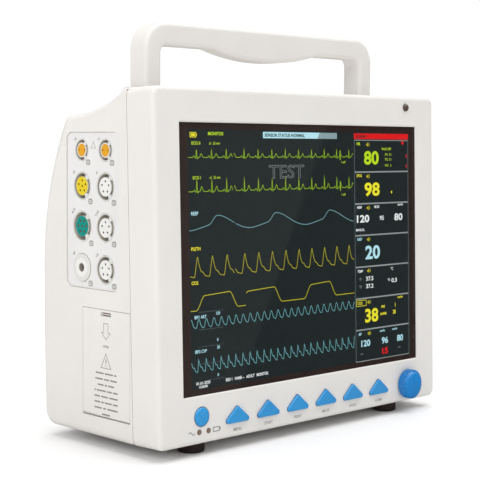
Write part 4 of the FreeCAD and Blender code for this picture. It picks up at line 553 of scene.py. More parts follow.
class Drawing:
    """Flat marks on one face, in millimetres, that become one thin closed mesh."""

    def __init__(self, name, matrix, material, slot, body="case", ink=0.06, lift=0.02):
        self.name, self.matrix, self.material, self.slot, self.body = name, matrix, material, slot, body
        self.ink, self.lift = ink * MM, lift * MM
        self.mesh = bmesh.new()

    def shape(self, points):
        """A filled outline, given anticlockwise."""
        front = [self.mesh.verts.new((x * MM, y * MM, self.lift + self.ink)) for x, y in points]
        back = [self.mesh.verts.new((x * MM, y * MM, self.lift)) for x, y in points]
        self.mesh.faces.new(front)
        self.mesh.faces.new(list(reversed(back)))
        for i in range(len(points)):
            j = (i + 1) % len(points)
            self.mesh.faces.new((front[j], front[i], back[i], back[j]))

    def bar(self, x, y, width, height):
        """A filled rectangle about its centre."""
        a, b = width / 2, height / 2
        self.shape([(x - a, y - b), (x + a, y - b), (x + a, y + b), (x - a, y + b)])

    def disc(self, x, y, radius, sides=24):
        turn = [math.tau * k / sides for k in range(sides)]
        self.shape([(x + radius * math.cos(t), y + radius * math.sin(t)) for t in turn])

    def line(self, points, width, closed=False):
        """A stroke of one width along points, as one strip."""
        count = len(points)
        left, right = [], []
        for i, (x, y) in enumerate(points):
            before = points[i - 1] if i or closed else points[i]
            after = points[(i + 1) % count] if i + 1 < count or closed else points[i]
            ahead = Vector((after[0] - x, after[1] - y)).normalized() if after != points[i] else None
            behind = Vector((x - before[0], y - before[1])).normalized() if before != points[i] else None
            along = ((ahead or behind) + (behind or ahead)).normalized()
            reach = width / 2 / max(0.35, along.dot(ahead or behind))
            left.append((x - along.y * reach, y + along.x * reach))
            right.append((x + along.y * reach, y - along.x * reach))
        rows = [[self.mesh.verts.new((x * MM, y * MM, z)) for x, y in side]
                for z in (self.lift + self.ink, self.lift) for side in (left, right)]
        top_left, top_right, low_left, low_right = rows
        for i in range(count if closed else count - 1):
            j = (i + 1) % count
            self.mesh.faces.new((top_right[i], top_right[j], top_left[j], top_left[i]))
            self.mesh.faces.new((low_left[i], low_left[j], low_right[j], low_right[i]))
            self.mesh.faces.new((top_left[i], top_left[j], low_left[j], low_left[i]))
            self.mesh.faces.new((low_right[i], low_right[j], top_right[j], top_right[i]))
        if not closed:
            for i, flip in ((0, False), (count - 1, True)):
                cap = (top_left[i], low_left[i], low_right[i], top_right[i])
                self.mesh.faces.new(tuple(reversed(cap)) if flip else cap)

    def frame(self, x, y, width, height, thickness):
        """A rectangle drawn as an outline."""
        a, b = width / 2, height / 2
        self.line([(x - a, y - b), (x + a, y - b), (x + a, y + b), (x - a, y + b)], thickness,
                  closed=True)

    def text(self, words, x, y, height, squeeze=1.0, weight=0.0, align="CENTER", outline=0.0, width=0.0,
             turn=0.0):
        """Plain lettering with capitals height tall; width stretches it, turn slants it by degrees."""
        curve = bpy.data.curves.new("lettering", "FONT")
        curve.body = words
        curve.size = height * MM / 0.73
        curve.offset = weight * MM
        curve.align_x = align
        curve.resolution_u = 3
        curve.extrude = self.ink / 2
        if outline:
            curve.fill_mode = "NONE"
            curve.extrude = 0.0
            curve.bevel_depth = outline * MM
            curve.bevel_resolution = 0
        holder = bpy.data.objects.new("lettering", curve)
        bpy.context.scene.collection.objects.link(holder)
        bpy.context.view_layer.update()
        letters = bpy.data.meshes.new_from_object(holder)
        across = [vertex.co.x for vertex in letters.vertices]
        upward = [vertex.co.y for vertex in letters.vertices]
        anchor = min(across) if align == "LEFT" else (min(across) + max(across)) / 2
        stretch = width * MM / (max(across) - min(across)) if width else squeeze
        home = Matrix.Translation((-anchor, -(min(upward) + max(upward)) / 2, 0))
        place = Matrix.Translation((x * MM, y * MM, self.lift + self.ink / 2))
        slant = Matrix.Rotation(math.radians(turn), 4, "Z")
        letters.transform(place @ slant @ Matrix.Diagonal((stretch, 1, 1, 1)) @ home)
        self.mesh.from_mesh(letters)
        bpy.data.objects.remove(holder)
        bpy.data.curves.remove(curve)
        bpy.data.meshes.remove(letters)

    def small_print(self, x, y, width, height, words):
        """Lettering too small to read: short bars with gaps, one for each word length."""
        total = sum(words) + len(words) - 1
        at = x
        for length in words:
            part = width * length / total
            self.bar(at + part / 2, y, part, height)
            at += width * (length + 1) / total

    def done(self):
        """The finished piece, riding on its body."""
        bmesh.ops.remove_doubles(self.mesh, verts=self.mesh.verts, dist=0.0000005)
        bmesh.ops.recalc_face_normals(self.mesh, faces=self.mesh.faces)
        data = bpy.data.meshes.new(self.name)
        self.mesh.to_mesh(data)
        self.mesh.free()
        data.transform(self.matrix)
        data.materials.append(self.material)
        piece = bpy.data.objects.new(self.name, data)
        bpy.context.scene.collection.objects.link(piece)
        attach(piece, self.body)
        print(self.name, len(data.polygons), "faces")


# %% [markdown]
# ## The display
#
# A lit display is a dark sheet that still glows a little, even where it shows nothing. It sits behind
# the glass, and a brown border printed on the back of the glass frames it. The sheet is one flat
# piece with a weak glow and fine upright lines. Traces, numbers and frames lie a hair in front of it,
# gathered by colour into a few drawings. The display's own millimetres start at its centre.

# %% Where the display lies
glass_points = [vertex.co for vertex in nodes["screen_glass"].data.vertices]
GLASS_BACK = max((point - SCREEN_CENTRE).dot(INWARD) for point in glass_points)
BORDER_GAP, SHEET_GAP = 0.05 * MM, 0.30 * MM
PICTURE_X = 1.2
PICTURE_HALF_W, PICTURE_HALF_H = 123.9, 93.2
GLASS_HALF_W, GLASS_HALF_H, GLASS_RISE = 134.6, 100.2, 0.4
print("glass back lies", round(GLASS_BACK / MM, 2), "mm behind the panel")

# %% Backlight
backlight = finish_material("backlight", linear(8, 10, 11), linear(9, 12, 13), 0.4, 0.5, 2600.0, 0.02)
tree = backlight.node_tree
shader = tree.nodes["Principled BSDF"]
shade = add(tree, "ShaderNodeMapRange", {"Value": noise(tree, 6.0, 1.0), "To Min": 0.94, "To Max": 1.06})
place = add(tree, "ShaderNodeTexCoord").outputs["Object"]
columns = add(tree, "ShaderNodeTexWave", {"Vector": place, "Scale": 520.0, "Distortion": 0.0},
              wave_type="BANDS", bands_direction="X", wave_profile="SIN")
fine_lines = add(tree, "ShaderNodeMapRange",
                {"Value": columns.outputs["Fac"], "To Min": 0.85, "To Max": 1.15})
glow = add(tree, "ShaderNodeMath", {0: shade.outputs["Result"], 1: fine_lines.outputs["Result"]},
           operation="MULTIPLY")
tinted = add(tree, "ShaderNodeVectorMath", {0: linear(24, 33, 34)[:3], "Scale": glow.outputs["Value"]},
             operation="SCALE")
tree.links.new(tinted.outputs["Vector"], shader.inputs["Emission Color"])
shader.inputs["Emission Strength"].default_value = 1.0
print("made", backlight.name)

# %% Picture sheet
sheet = Drawing("display_picture", panel(GLASS_BACK + SHEET_GAP), backlight, "display", ink=0.1,
                lift=-0.1)
sheet.bar(PICTURE_X, 0, PICTURE_HALF_W * 2 + 1, PICTURE_HALF_H * 2 + 1)
sheet.done()

# %% Printed border
border = Drawing("printed_border", panel(GLASS_BACK + BORDER_GAP), border_ink_painted_glow, "glass", ink=0.04,
                 lift=-0.04)
CORNERS = ((-1, -1), (1, -1), (1, 1), (-1, 1))
outer = [(GLASS_HALF_W * a, GLASS_RISE + GLASS_HALF_H * b) for a, b in CORNERS]
inner = [(PICTURE_X + PICTURE_HALF_W * a, PICTURE_HALF_H * b) for a, b in CORNERS]
for i in range(4):
    j = (i + 1) % 4
    border.shape([outer[i], outer[j], inner[j], inner[i]])
border.done()

# %% [markdown]
# ### Lit colours
#
# A mark on the display gives out light and hardly reflects any, so its material is nearly black with
# a coloured emission. Slow noise varies the glow by a few percent, as a real backlight does.

# %% Lit colours
ecg_green = lit_material("lit_green", linear(150, 190, 20))
pulse_yellow = lit_material("lit_olive", linear(178, 172, 34))
gas_yellow = lit_material("lit_amber", linear(196, 190, 30))
breath_cyan = lit_material("lit_teal", linear(116, 160, 166))
artery_cyan = lit_material("lit_aqua", linear(108, 172, 176))
lime = lit_material("lit_lime", linear(196, 232, 24))
yellow = lit_material("lit_yellow", linear(250, 240, 44))
white = lit_material("lit_white", linear(244, 248, 248))
cyan = lit_material("lit_cyan", linear(186, 236, 246))
grey = lit_material("lit_grey", linear(150, 156, 156))
dim_grey = lit_material("lit_dim", linear(84, 96, 98))
red = lit_material("lit_red", linear(232, 16, 18))
bar_blue = lit_material("lit_bar", linear(190, 238, 248))
bar_shade = lit_material("lit_bar_shade", linear(142, 168, 174))


def on_screen(name, material, layer=1):
    """A drawing on the lit picture; higher layers lie in front."""
    depth = GLASS_BACK + SHEET_GAP - layer * 0.02 * MM
    matrix = panel(depth) @ Matrix.Translation((PICTURE_X * MM, 0, 0))
    return Drawing(name, matrix, material, "display", ink=0.015, lift=0.0)


print("lit colours", sum(material.name.startswith("lit_") for material in bpy.data.materials))

# %% [markdown]
# ### Traces
#
# The monitor draws two heart traces, breathing, pulse, exhaled gas and two pressures. Points copied
# off a screen would be a long list that nobody can adjust. Each trace is a formula for height against
# place instead, sampled into strokes: a spike and hills for a heartbeat, a quick rise and a slow fall
# for a pulse. The heart and pulse traces share one beat length, as they do in a patient. The two
# pressure traces share another. A short jump marks where the sweep is redrawing the line.

# %% Trace shapes
SWEEP_START, SWEEP_END = -123.5, 53.5
BEAT = 14.6
FIRST_BEAT = -115.6
JUMP_AT, JUMP = -79.5, 3.4
STEP = 0.25
PRESSURE_BEAT, PRESSURE_START = 7.39, -115.7


def smooth(share):
    """Eases from 0 to 1."""
    share = min(1.0, max(0.0, share))
    return share * share * (3 - 2 * share)


def hill(x, middle, width):
    return math.exp(-((x - middle) / width) ** 2)


def beat_phase(x):
    """Millimetres since the last heartbeat's spike."""
    moved = x - JUMP if x > JUMP_AT else x
    return (moved - FIRST_BEAT) % BEAT


def heart_trace(x, height, swell):
    after = beat_phase(x)
    before = after - BEAT
    spike = max(0.0, 1 - abs(after) / 0.5, 1 - abs(before) / 0.5) * height
    dip = -1.0 * hill(after, 0.9, 0.35) - 0.6 * hill(before, -0.8, 0.3)
    return spike + dip + swell * hill(after, 4.6, 1.1) + 1.2 * hill(before, -2.6, 0.7)


def pulse_trace(x):
    after = (beat_phase(x) + 4.0) % BEAT
    up = smooth(after / 3.6)
    down = math.exp(-max(0.0, after - 3.6) / 2.6)
    notch = 1.4 * hill(after, 8.6, 1.1)
    return 14.6 * min(up, down) + notch * (after > 3.6)


def breath_trace(x):
    after = ((x + 61.0) % 60.5) / 60.5
    if after < 0.27:
        return 3.4 * (after / 0.27) ** 1.2
    if after < 0.42:
        return 3.4 + 6.8 * smooth((after - 0.27) / 0.15)
    return 10.2 * (1 - smooth((after - 0.42) / 0.58)) ** 1.35


def gas_trace(x, start, width):
    """One plateau: a quick rise, a slow climb and a rounded fall."""
    rise = smooth((x - start) / 8.5) * 10.4
    climb = max(0.0, x - start - 8) / width * 1.6
    fall = smooth((x - start - width) / 9.0)
    return (rise + climb * (x < start + width + 9)) * (1 - fall)


def artery_trace(x):
    phase = math.tau * (x - PRESSURE_START) / PRESSURE_BEAT
    return 3.1 * (math.cos(phase) + 0.22 * math.cos(2 * phase + 0.5))


def vein_trace(x):
    share = ((x + 116.6) / PRESSURE_BEAT) % 1.0
    fall = 9.6 * math.exp(-share * 3.1)
    return fall + 1.7 * hill(share, 0.42, 0.09) + 9.6 * smooth((share - 0.84) / 0.16)


def sampled(function, start, end, step=STEP):
    """Points along a trace at even steps."""
    count = max(2, int((end - start) / step) + 1)
    places = [start + (end - start) * i / (count - 1) for i in range(count)]
    return [(x, function(x)) for x in places]


print("one beat is", BEAT, "mm, the sweep is", SWEEP_END - SWEEP_START, "mm")

# %% Draw the heart traces
HEART_ROWS = ((73.1, 6.9, 2.7), (48.8, 10.2, 3.6))
ecg = on_screen("trace_ecg", ecg_green)
for base, height, swell in HEART_ROWS:
    for start, end in ((SWEEP_START, JUMP_AT - 0.6), (JUMP_AT + 0.6, SWEEP_END)):
        ecg.line(sampled(lambda x: base + heart_trace(x, height, swell), start, end), 0.5)
    ecg.line([(38.0, base - 2.4), (38.0, base + 5.2)], 1.1)
ecg.done()

# %% Draw the breath, pulse and gas traces
BREATH_BASE, PULSE_BASE, GAS_BASE, ARTERY_BASE, VEIN_BASE = 21.2, -12.4, -36.3, -46.2, -81.3
breath = on_screen("trace_breath", breath_cyan)
for start, end in ((SWEEP_START, -79.2), (-77.6, SWEEP_END)):
    breath.line(sampled(lambda x: BREATH_BASE + breath_trace(x), start, end, 0.7), 0.55)
breath.done()

pulse = on_screen("trace_pulse", pulse_yellow)
for start, end in ((SWEEP_START, JUMP_AT - 0.3), (JUMP_AT + 0.5, SWEEP_END)):
    pulse.line(sampled(lambda x: PULSE_BASE + pulse_trace(x), start, end), 0.55)
pulse.done()

gas = on_screen("trace_gas", gas_yellow)
GAS_BREATHS = ((-118.2, 33.0, SWEEP_START, -68.8), (-74.5, 35.6, -68.0, -9.0),
               (-5.6, 28.8, -9.0, SWEEP_END))
for first, width, start, end in GAS_BREATHS:
    gas.line(sampled(lambda x: GAS_BASE + gas_trace(x, first, width), start, end, 0.5), 0.55)
gas.done()

# %% Draw the pressure traces
artery = on_screen("trace_artery", artery_cyan)
artery.line(sampled(lambda x: ARTERY_BASE + artery_trace(x), SWEEP_START, SWEEP_END, 0.35), 0.52)
artery.line(sampled(lambda x: VEIN_BASE + vein_trace(x), SWEEP_START, SWEEP_END, 0.2), 0.52)
artery.done()

# %% [markdown]
# ### Readouts
#
# Seven boxes of equal height stand in a column at the right. Each has a small title, a sound mark and
# its numbers. Text curves give the letters. A number is measured once it is a mesh, then stretched to
# the width that it needs and centred on its place, so it fits its box whatever the font.

# %% Column frames and bars
COLUMN_LEFT, COLUMN_RIGHT, COLUMN_TOP, BOX_STEP, BOXES = 55.2, 123.3, 86.5, 25.63, 7
column_middle = (COLUMN_LEFT + COLUMN_RIGHT) / 2
lines = on_screen("column_lines", grey)
for k in range(BOXES + 1):
    thickness = 0.6 if k in (0, BOXES) else 1.15
    lines.bar(column_middle, COLUMN_TOP - BOX_STEP * k, COLUMN_RIGHT - COLUMN_LEFT, thickness)
lines.done()
sides = on_screen("column_sides", dim_grey, 2)
for x in (COLUMN_LEFT, COLUMN_RIGHT):
    sides.bar(x, COLUMN_TOP - BOX_STEP * BOXES / 2, 0.8, BOX_STEP * BOXES)
SCALE_END = -91.5
for x_from, y in ((-116.0, -37.6), (-116.0, -50.2), (-116.0, -62.5), (-116.0, -75.0), (-108.0, -87.2)):
    sides.bar((x_from + SCALE_END) / 2, y, SCALE_END - x_from, 0.35)
sides.done()

# %% Alarm and message bars
BAR_LOW, BAR_HIGH = 87.3, 92.0
alarm = on_screen("alarm_bar", red)
alarm.bar(column_middle, 89.7, COLUMN_RIGHT - COLUMN_LEFT + 0.8, 4.6)
alarm.done()
message = on_screen("message_bar", bar_blue)
message.shape([(-48.4, BAR_LOW), (11.8, BAR_LOW), (14.3, BAR_HIGH), (-48.4, BAR_HIGH)])
message.done()
message_shade = on_screen("message_bar_shade", bar_shade)
message_shade.shape([(11.8, BAR_LOW), (34.4, BAR_LOW), (34.4, BAR_HIGH), (14.3, BAR_HIGH)])
message_shade.done()

# %% Dark lettering on the lit bars
bar_ink = lit_material("unlit_lettering", linear(26, 32, 36))
bar_words = on_screen("bar_lettering", bar_ink, 3)
bar_words.text("SENSOR STATUS NORMAL", -46.8, 89.6, 2.5, weight=0.1, align="LEFT", width=44.0)
bar_words.text("ALARM 1", 56.6, 89.7, 2.3, weight=0.08, align="LEFT", width=14.0)
bar_words.done()

# %% Sound marks


def speaker_mark(drawing, x, y):
    """A small sounder mark: a block, a cone and two arcs."""
    drawing.bar(x - 1.2, y, 1.0, 1.5)
    drawing.shape([(x - 0.6, y - 0.8), (x + 0.5, y - 1.9), (x + 0.5, y + 1.9), (x - 0.6, y + 0.8)])
    for radius in (1.1, 1.9):
        turns = (-0.9, -0.45, 0, 0.45, 0.9)
        drawing.line([(x + 0.4 + radius * math.cos(t), y + radius * math.sin(t)) for t in turns], 0.35)


sound_marks = on_screen("sound_marks", gas_yellow)
for k in range(BOXES):
    speaker_mark(sound_marks, 71.6, COLUMN_TOP - BOX_STEP * k - 3.5)
sound_marks.done()

# %% Readout maker


def readouts(name, material, numbers=(), labels=()):
    """Lettering in one colour: numbers give a weight and a width, labels a squeeze and a weight."""
    drawing = on_screen(name, material)
    for words, x, y, height, weight, width in numbers:
        drawing.text(words, x, y, height, weight=weight, width=width)
    for words, x, y, height, squeeze, weight in labels:
        drawing.text(words, x, y, height, squeeze, weight)
    return drawing


# %% Green readouts
greens = readouts("readout_green", lime, numbers=[("80", 76.25, 72.3, 10.7, 0.45, 18.5)], labels=[
    ("HR", 60.3, 83.6, 2.4, 1.0, 0.1), ("PACE OFF", 95.5, 79.5, 2.1, 0.95, 0.04),
    ("ST1  0.1", 97.5, 75.0, 2.0, 0.95, 0.03), ("ST2  0.1", 97.5, 71.0, 2.0, 0.95, 0.03),
    ("PVC   0", 97.5, 66.0, 2.0, 0.95, 0.03), ("x1  25 mm", -98.0, 83.3, 2.0, 0.9, 0.03),
    ("x1  25 mm", -98.0, 58.7, 2.0, 0.9, 0.03), ("ECG II", -116.0, 83.3, 2.3, 1.0, 0.06),
    ("ECG I", -115.6, 58.7, 2.3, 1.0, 0.06), ("MONITOR", -96.4, 90.2, 2.4, 1.0, 0.08),
    ("1 mV", 42.0, 69.0, 1.8, 1.0, 0.05), ("1 mV", 42.0, 43.3, 1.8, 1.0, 0.05)])
greens.done()

# %% Yellow readouts
yellows = readouts("readout_yellow", yellow, numbers=[
    ("98", 76.9, 46.7, 10.7, 0.45, 19.0), ("38", 75.1, -56.2, 10.9, 0.45, 16.6)], labels=[
    ("SPO2", 61.0, 58.0, 2.3, 0.9, 0.06), ("CO2", 60.6, -45.4, 2.3, 0.95, 0.06),
    ("INS", 89.6, -50.2, 2.2, 0.95, 0.08), ("AWRR", 90.0, -56.2, 2.2, 0.95, 0.08),
    ("1", 105.5, -50.0, 3.2, 0.8, 0.12), ("20", 104.2, -55.8, 3.4, 0.8, 0.12),
    ("mmHg", 112.0, -44.2, 1.9, 0.95, 0.05), ("PLETH", -117.6, 8.1, 2.5, 0.95, 0.08),
    ("CO2", -119.0, -16.3, 2.5, 0.95, 0.08)])
yellows.bar(101.6, 44.0, 1.2, 2.0)
yellows.frame(62.2, -45.4, 12.2, 4.6, 0.4)
BATTERY_X, BATTERY_Y = -118.6, 89.2
yellows.frame(BATTERY_X, BATTERY_Y, 5.6, 3.2, 0.5)
yellows.bar(BATTERY_X, BATTERY_Y, 3.8, 1.7)
yellows.bar(BATTERY_X + 3.2, BATTERY_Y, 0.8, 1.5)
yellows.done()

# %% White readouts
whites = readouts("readout_white", white, numbers=[
    ("120", 65.25, 23.1, 5.9, 0.24, 15.4), ("95", 88.8, 23.0, 3.6, 0.12, 5.4),
    ("80", 110.4, 23.2, 5.7, 0.24, 10.8), ("37.5", 72.9, -25.9, 3.4, 0.12, 9.2),
    ("37.2", 72.9, -32.0, 3.4, 0.12, 9.2), ("0.3", 104.2, -29.3, 3.4, 0.12, 7.0)], labels=[
    ("NIBP", 61.0, 32.4, 2.2, 0.95, 0.06), ("08:30", 82.5, 32.4, 2.2, 0.95, 0.06),
    ("mmHg", 113.0, 33.2, 2.0, 0.95, 0.06), ("MANUAL", 61.8, 14.2, 2.1, 0.9, 0.06),
    ("TD", 97.4, -28.6, 2.0, 0.9, 0.05), ("°C", 101.5, -19.6, 2.4, 0.9, 0.06),
    ("TEMP", 61.2, -19.4, 2.2, 0.95, 0.06), ("01-01-2020", -112.4, -88.8, 2.2, 0.98, 0.06),
    ("12:00:00", -112.4, -91.4, 1.9, 0.98, 0.06),
    ("BED 1   NAME --   ADULT   MONITOR", -68.0, -89.4, 2.3, 0.84, 0.08)])
whites.done()

# %% Cyan readouts
cyans = readouts("readout_cyan", cyan, numbers=[
    ("20", 77.0, -4.6, 10.8, 0.45, 18.4), ("120", 67.3, -78.5, 5.2, 0.2, 11.2),
    ("96", 91.7, -78.4, 5.2, 0.2, 8.0), ("80", 111.5, -78.3, 5.2, 0.2, 8.0)], labels=[
    ("RESP", 61.0, 6.6, 2.2, 0.95, 0.06), ("IBP", 60.6, -70.6, 2.2, 0.9, 0.06),
    ("mmHg", 88.5, -70.4, 1.9, 0.95, 0.05), ("mmHg", 104.5, -70.4, 1.9, 0.95, 0.05),
    ("RESP", -118.2, 33.3, 2.6, 0.95, 0.08), ("IBP1 ART", -114.2, -41.0, 2.4, 0.9, 0.06),
    ("IBP2 CVP", -114.2, -65.8, 2.4, 0.9, 0.06), ("150", -96.8, -39.6, 2.3, 0.9, 0.06),
    ("0", -97.6, -58.8, 2.3, 0.9, 0.06), ("30", -97.0, -64.4, 2.3, 0.9, 0.06),
    ("0", -97.6, -84.6, 2.3, 0.9, 0.06)])
cyans.done()

# %% Grey readouts
greys = readouts("readout_grey", grey, labels=[
    ("T1", 61.4, -25.9, 2.1, 0.9, 0.04), ("T2", 61.4, -32.0, 2.1, 0.9, 0.04),
    ("---", 62.4, -87.0, 3.2, 0.8, 0.05), ("---", 110.4, -86.0, 3.2, 0.8, 0.05)])
greys.done()

# %% Red readouts
reds = readouts("readout_red", red, numbers=[("15", 91.8, -87.2, 4.9, 0.24, 7.6)])
for x in (115.5, 117.1):
    reds.disc(x, 85.0, 0.95)
reds.shape([(114.7, 84.6), (116.3, 82.6), (117.9, 84.6)])
for y in (73.6, 65.4):
    reds.line([(122.2, y + 1.6), (120.4, y), (122.2, y - 1.6)], 0.6)
reds.done()

# %% [markdown]
# ### Outlined notice
#
# A notice across the heart traces shows that the values are not a patient's. Only its outline is
# drawn: the text curve is left unfilled and gets a thin round bevel.

# %% Outlined notice
notice = on_screen("outlined_notice", grey, 4)
notice.text("TEST", -23.3, 62.1, 10.4, outline=0.14, width=38.6)
notice.done()

# %% [markdown]
# ## Marks on the front panel
#
# The front carries six short captions under the keys, and a mains wave and a battery beside the two
# lamps. They are printed in grey ink, so they are drawings a few hundredths of a millimetre thick.
#
# Each key stands in a narrow gap that looks brown and dark. The gap is too narrow for the lights to shade it, so a
# thin line of painted brown shade follows the outline of each key. The outline is measured from the key's own mesh
# as the hull of its points, so it fits a key of any shape.

# %% Printed inks, and brown paint for painted shade
grey_ink = finish_material("grey_ink", linear(138, 134, 131), linear(148, 144, 141), 0.5, 0.6, 2600.0,
                           0.03)
badge_grey = finish_material("badge_grey", linear(168, 166, 162), linear(158, 156, 152), 0.5, 0.6, 2600.0,
                             0.03)
dark_ink = finish_material("dark_ink", linear(74, 70, 68), linear(84, 80, 78), 0.5, 0.6, 2600.0, 0.03)
# The brown is painted shade, used in the key gaps and in the latch slot.
brown_shade_paint = finish_material("brown_shade_paint", linear(104, 70, 60), linear(116, 82, 72), 0.6, 0.7, 2600.0, 0.03)
print("inks", grey_ink.name, badge_grey.name, dark_ink.name, brown_shade_paint.name)

# %% Painted shade in the gaps around the keys
KEYS = ("menu_key", "start_key", "record_key", "silence_key", "freeze_key", "main_key", "power_button")
GAP_MIDDLE, GAP_WIDTH, PROUD = 0.32, 0.34, 0.2
gap_shade = Drawing("key_gap_shade", panel(), brown_shade_paint, "case_plastic")
to_panel = panel().inverted()
for name in KEYS:
    flat = [to_panel @ vertex.co for vertex in nodes[name].data.vertices]
    proud = [point.xy / MM for point in flat if point.z > PROUD * MM]
    hull = [proud[i] for i in convex_hull_2d(proud)]
    centre = sum(hull, Vector((0, 0))) / len(hull)
    outline = [point + (point - centre).normalized() * GAP_MIDDLE for point in hull]
    gap_shade.line([tuple(point) for point in outline], GAP_WIDTH, closed=True)
gap_shade.done()

# %% Captions
KEY_STEP, CAPTION_Y = 32.25, -126.4
captions = Drawing("key_captions", panel(), grey_ink, "case_plastic")
for k, words in enumerate(("MENU", "START", "PRINT", "MUTE", "HOLD", "HOME")):
    captions.text(words, KEY_STEP * (k - 2.5) + 0.4, CAPTION_Y, 2.3, 1.0, 0.03)
captions.done()

# %% Lamp marks
lamp_marks = Drawing("lamp_marks", panel(), dark_ink, "case_plastic")
wave = [(-128.6 + 6.0 * t / 12, -123.4 + 1.1 * math.sin(math.tau * t / 12)) for t in range(13)]
lamp_marks.line(wave, 0.5)
lamp_marks.frame(-101.6, -123.3, 6.2, 3.0, 0.45)
lamp_marks.bar(-97.9, -123.3, 0.9, 1.4)
lamp_marks.done()

# %% [markdown]
# ## Marks on the left side
#
# Here x runs towards the front of the case. The battery door has an arrow below its latch, a warning
# triangle and lines of small print, which are too small to read and are drawn as plain bars with the
# rhythm of words. Each socket has a slanted name above it and a small badge below it. Their places
# are measured from the sockets, so they follow when a socket moves.

# %% Battery door marks
door_low, door_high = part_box("battery_door")
door_x = -(door_low.y + door_high.y) / 2 / MM
door_marks = Drawing("battery_door_marks", LEFT, grey_ink, "case_plastic", "battery_door")
ARROW_TOP, ARROW_FOOT, WORD_Z = 93.6, 81.8, 76.7
TRIANGLE_FOOT, FIRST_LINE, LINE_STEP = 60.8, 56.7, 4.3
door_marks.line([(door_x - 2.5, ARROW_TOP), (door_x + 2.5, ARROW_TOP), (door_x + 2.5, ARROW_FOOT + 5),
                 (door_x + 5, ARROW_FOOT + 5), (door_x, ARROW_FOOT), (door_x - 5, ARROW_FOOT + 5),
                 (door_x - 2.5, ARROW_FOOT + 5)], 0.4, closed=True)
door_marks.text("OPEN", door_x, WORD_Z, 1.9, 1.0, 0.02)
triangle = [(door_x - 5.6, TRIANGLE_FOOT), (door_x + 5.6, TRIANGLE_FOOT), (door_x, TRIANGLE_FOOT + 10.6)]
door_marks.line(triangle, 0.5, closed=True)
door_marks.bar(door_x, TRIANGLE_FOOT + 5.0, 0.8, 3.6)
door_marks.disc(door_x, TRIANGLE_FOOT + 1.9, 0.5, 12)
PRINT_LINES = ((24, (7, 7, 2)), (25, (6, 4, 5)), (19, (5, 2, 5)), (27, (1, 8, 4, 4)), (27, (4, 5, 6)),
               (27, (5, 2, 6, 4)), (27, (5, 2, 7)), (9, (6,)))
for row, (width, words) in enumerate(PRINT_LINES):
    door_marks.small_print(door_x - width / 2, FIRST_LINE - row * LINE_STEP, width, 1.15, words)
door_marks.done()

# %% [markdown]
# ### Painted shade in the latch slot
#
# Two dark lines of painted shade cross the bottom of the latch slot, where a fingertip grips. Ribs could be
# cut there, but at this size they would only be seen as lines, so lines are drawn. They ride on the door and
# turn with it.

# %% Painted shade in the latch slot
LATCH_X, LATCH_Z, LATCH_DEPTH = 5.4, 100.2, 1.38
latch_face = LEFT @ Matrix.Translation((0, 0, -LATCH_DEPTH * MM))
latch = Drawing("latch_slot_shade", latch_face, brown_shade_paint, "case_plastic", "battery_door")
for step in (-0.9, 0.6):
    latch.bar(LATCH_X, LATCH_Z + step, 10.8, 0.7)
latch.done()

# %% Socket marks
SOCKETS = {
    "temp_socket_1": "T1", "temp_socket_2": "T2", "ibp_socket_1": "P1", "ibp_socket_2": "P2",
    "resp_socket": "CO2", "ecg_socket": "ECG", "spo2_socket": "O2", "nibp_port": "BP",
}
socket_words = Drawing("socket_words", PORTS, grey_ink, "panel_plastic")
socket_badges = Drawing("socket_badges", PORTS, badge_grey, "panel_plastic")
badge_lines = Drawing("badge_lines", PORTS, panel_grey, "panel_plastic", lift=0.1)
BADGE_CORNERS = ((-1, -0.5), (-0.6, -1), (0.6, -1), (1, -0.5), (1, 0.5), (0.6, 1), (-0.6, 1), (-1, 0.5))
for name, words in SOCKETS.items():
    low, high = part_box(name)
    middle_x, middle_z = -(low.y + high.y) / 2 / MM, (low.z + high.z) / 2 / MM
    radius = (high.z - low.z) / 2 / MM
    socket_words.text(words, middle_x - radius * 0.92, middle_z + radius * 0.98, 1.9, 1.0, 0.04, turn=48)
    badge_x, badge_y = middle_x + radius * 0.98, middle_z - radius - 0.9
    socket_badges.shape([(badge_x + a * 2.5, badge_y + b * 2.1) for a, b in BADGE_CORNERS])
    for step in (-0.7, 0.5):
        badge_lines.bar(badge_x, badge_y + step, 3.4, 0.5)
temp_low, temp_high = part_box("temp_socket_1")
triangle_x = -(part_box("temp_socket_2")[1].y + temp_low.y) / 2 / MM
triangle_z = (temp_low.z + temp_high.z) / 2 / MM + 1.5
warning = [(triangle_x - 2.6, triangle_z), (triangle_x + 2.6, triangle_z), (triangle_x, triangle_z + 4.4)]
socket_badges.line(warning, 0.4, closed=True)
socket_words.done()
socket_badges.done()
badge_lines.done()

# %% [markdown]
# ### Painted shade line around the socket plate
#
# A fine rounded line of painted shade runs just inside the edge of the recessed plate that holds the sockets,
# where the shade of a groove would show. A groove would need a new cut in the model, so a grey stroke stands in
# for its shade at this size. It is one closed stroke: four quarter circles, which the stroke joins with straight
# sides.

# %% Painted shade line around the socket plate
port_low, port_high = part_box("port_panel")
# Here badge_grey paints the shade of a groove, not print.
port_edge_shade = Drawing("port_plate_edge_shade", PORTS, badge_grey, "panel_plastic", ink=0.03)
edge_x, edge_z = -(port_low.y + port_high.y) / 2 / MM, (port_low.z + port_high.z) / 2 / MM
EDGE_INSET, EDGE_ROUND = 0.9, 7.0
half_w = (port_high.y - port_low.y) / 2 / MM - EDGE_INSET
half_h = (port_high.z - port_low.z) / 2 / MM - EDGE_INSET
corners = []
for start_angle, a, b in ((0, 1, 1), (90, -1, 1), (180, -1, -1), (270, 1, -1)):
    for step in range(7):
        angle = math.radians(start_angle + 15 * step)
        corners.append((edge_x + a * (half_w - EDGE_ROUND) + EDGE_ROUND * math.cos(angle),
                        edge_z + b * (half_h - EDGE_ROUND) + EDGE_ROUND * math.sin(angle)))
port_edge_shade.line(corners, 0.28, closed=True)
port_edge_shade.done()

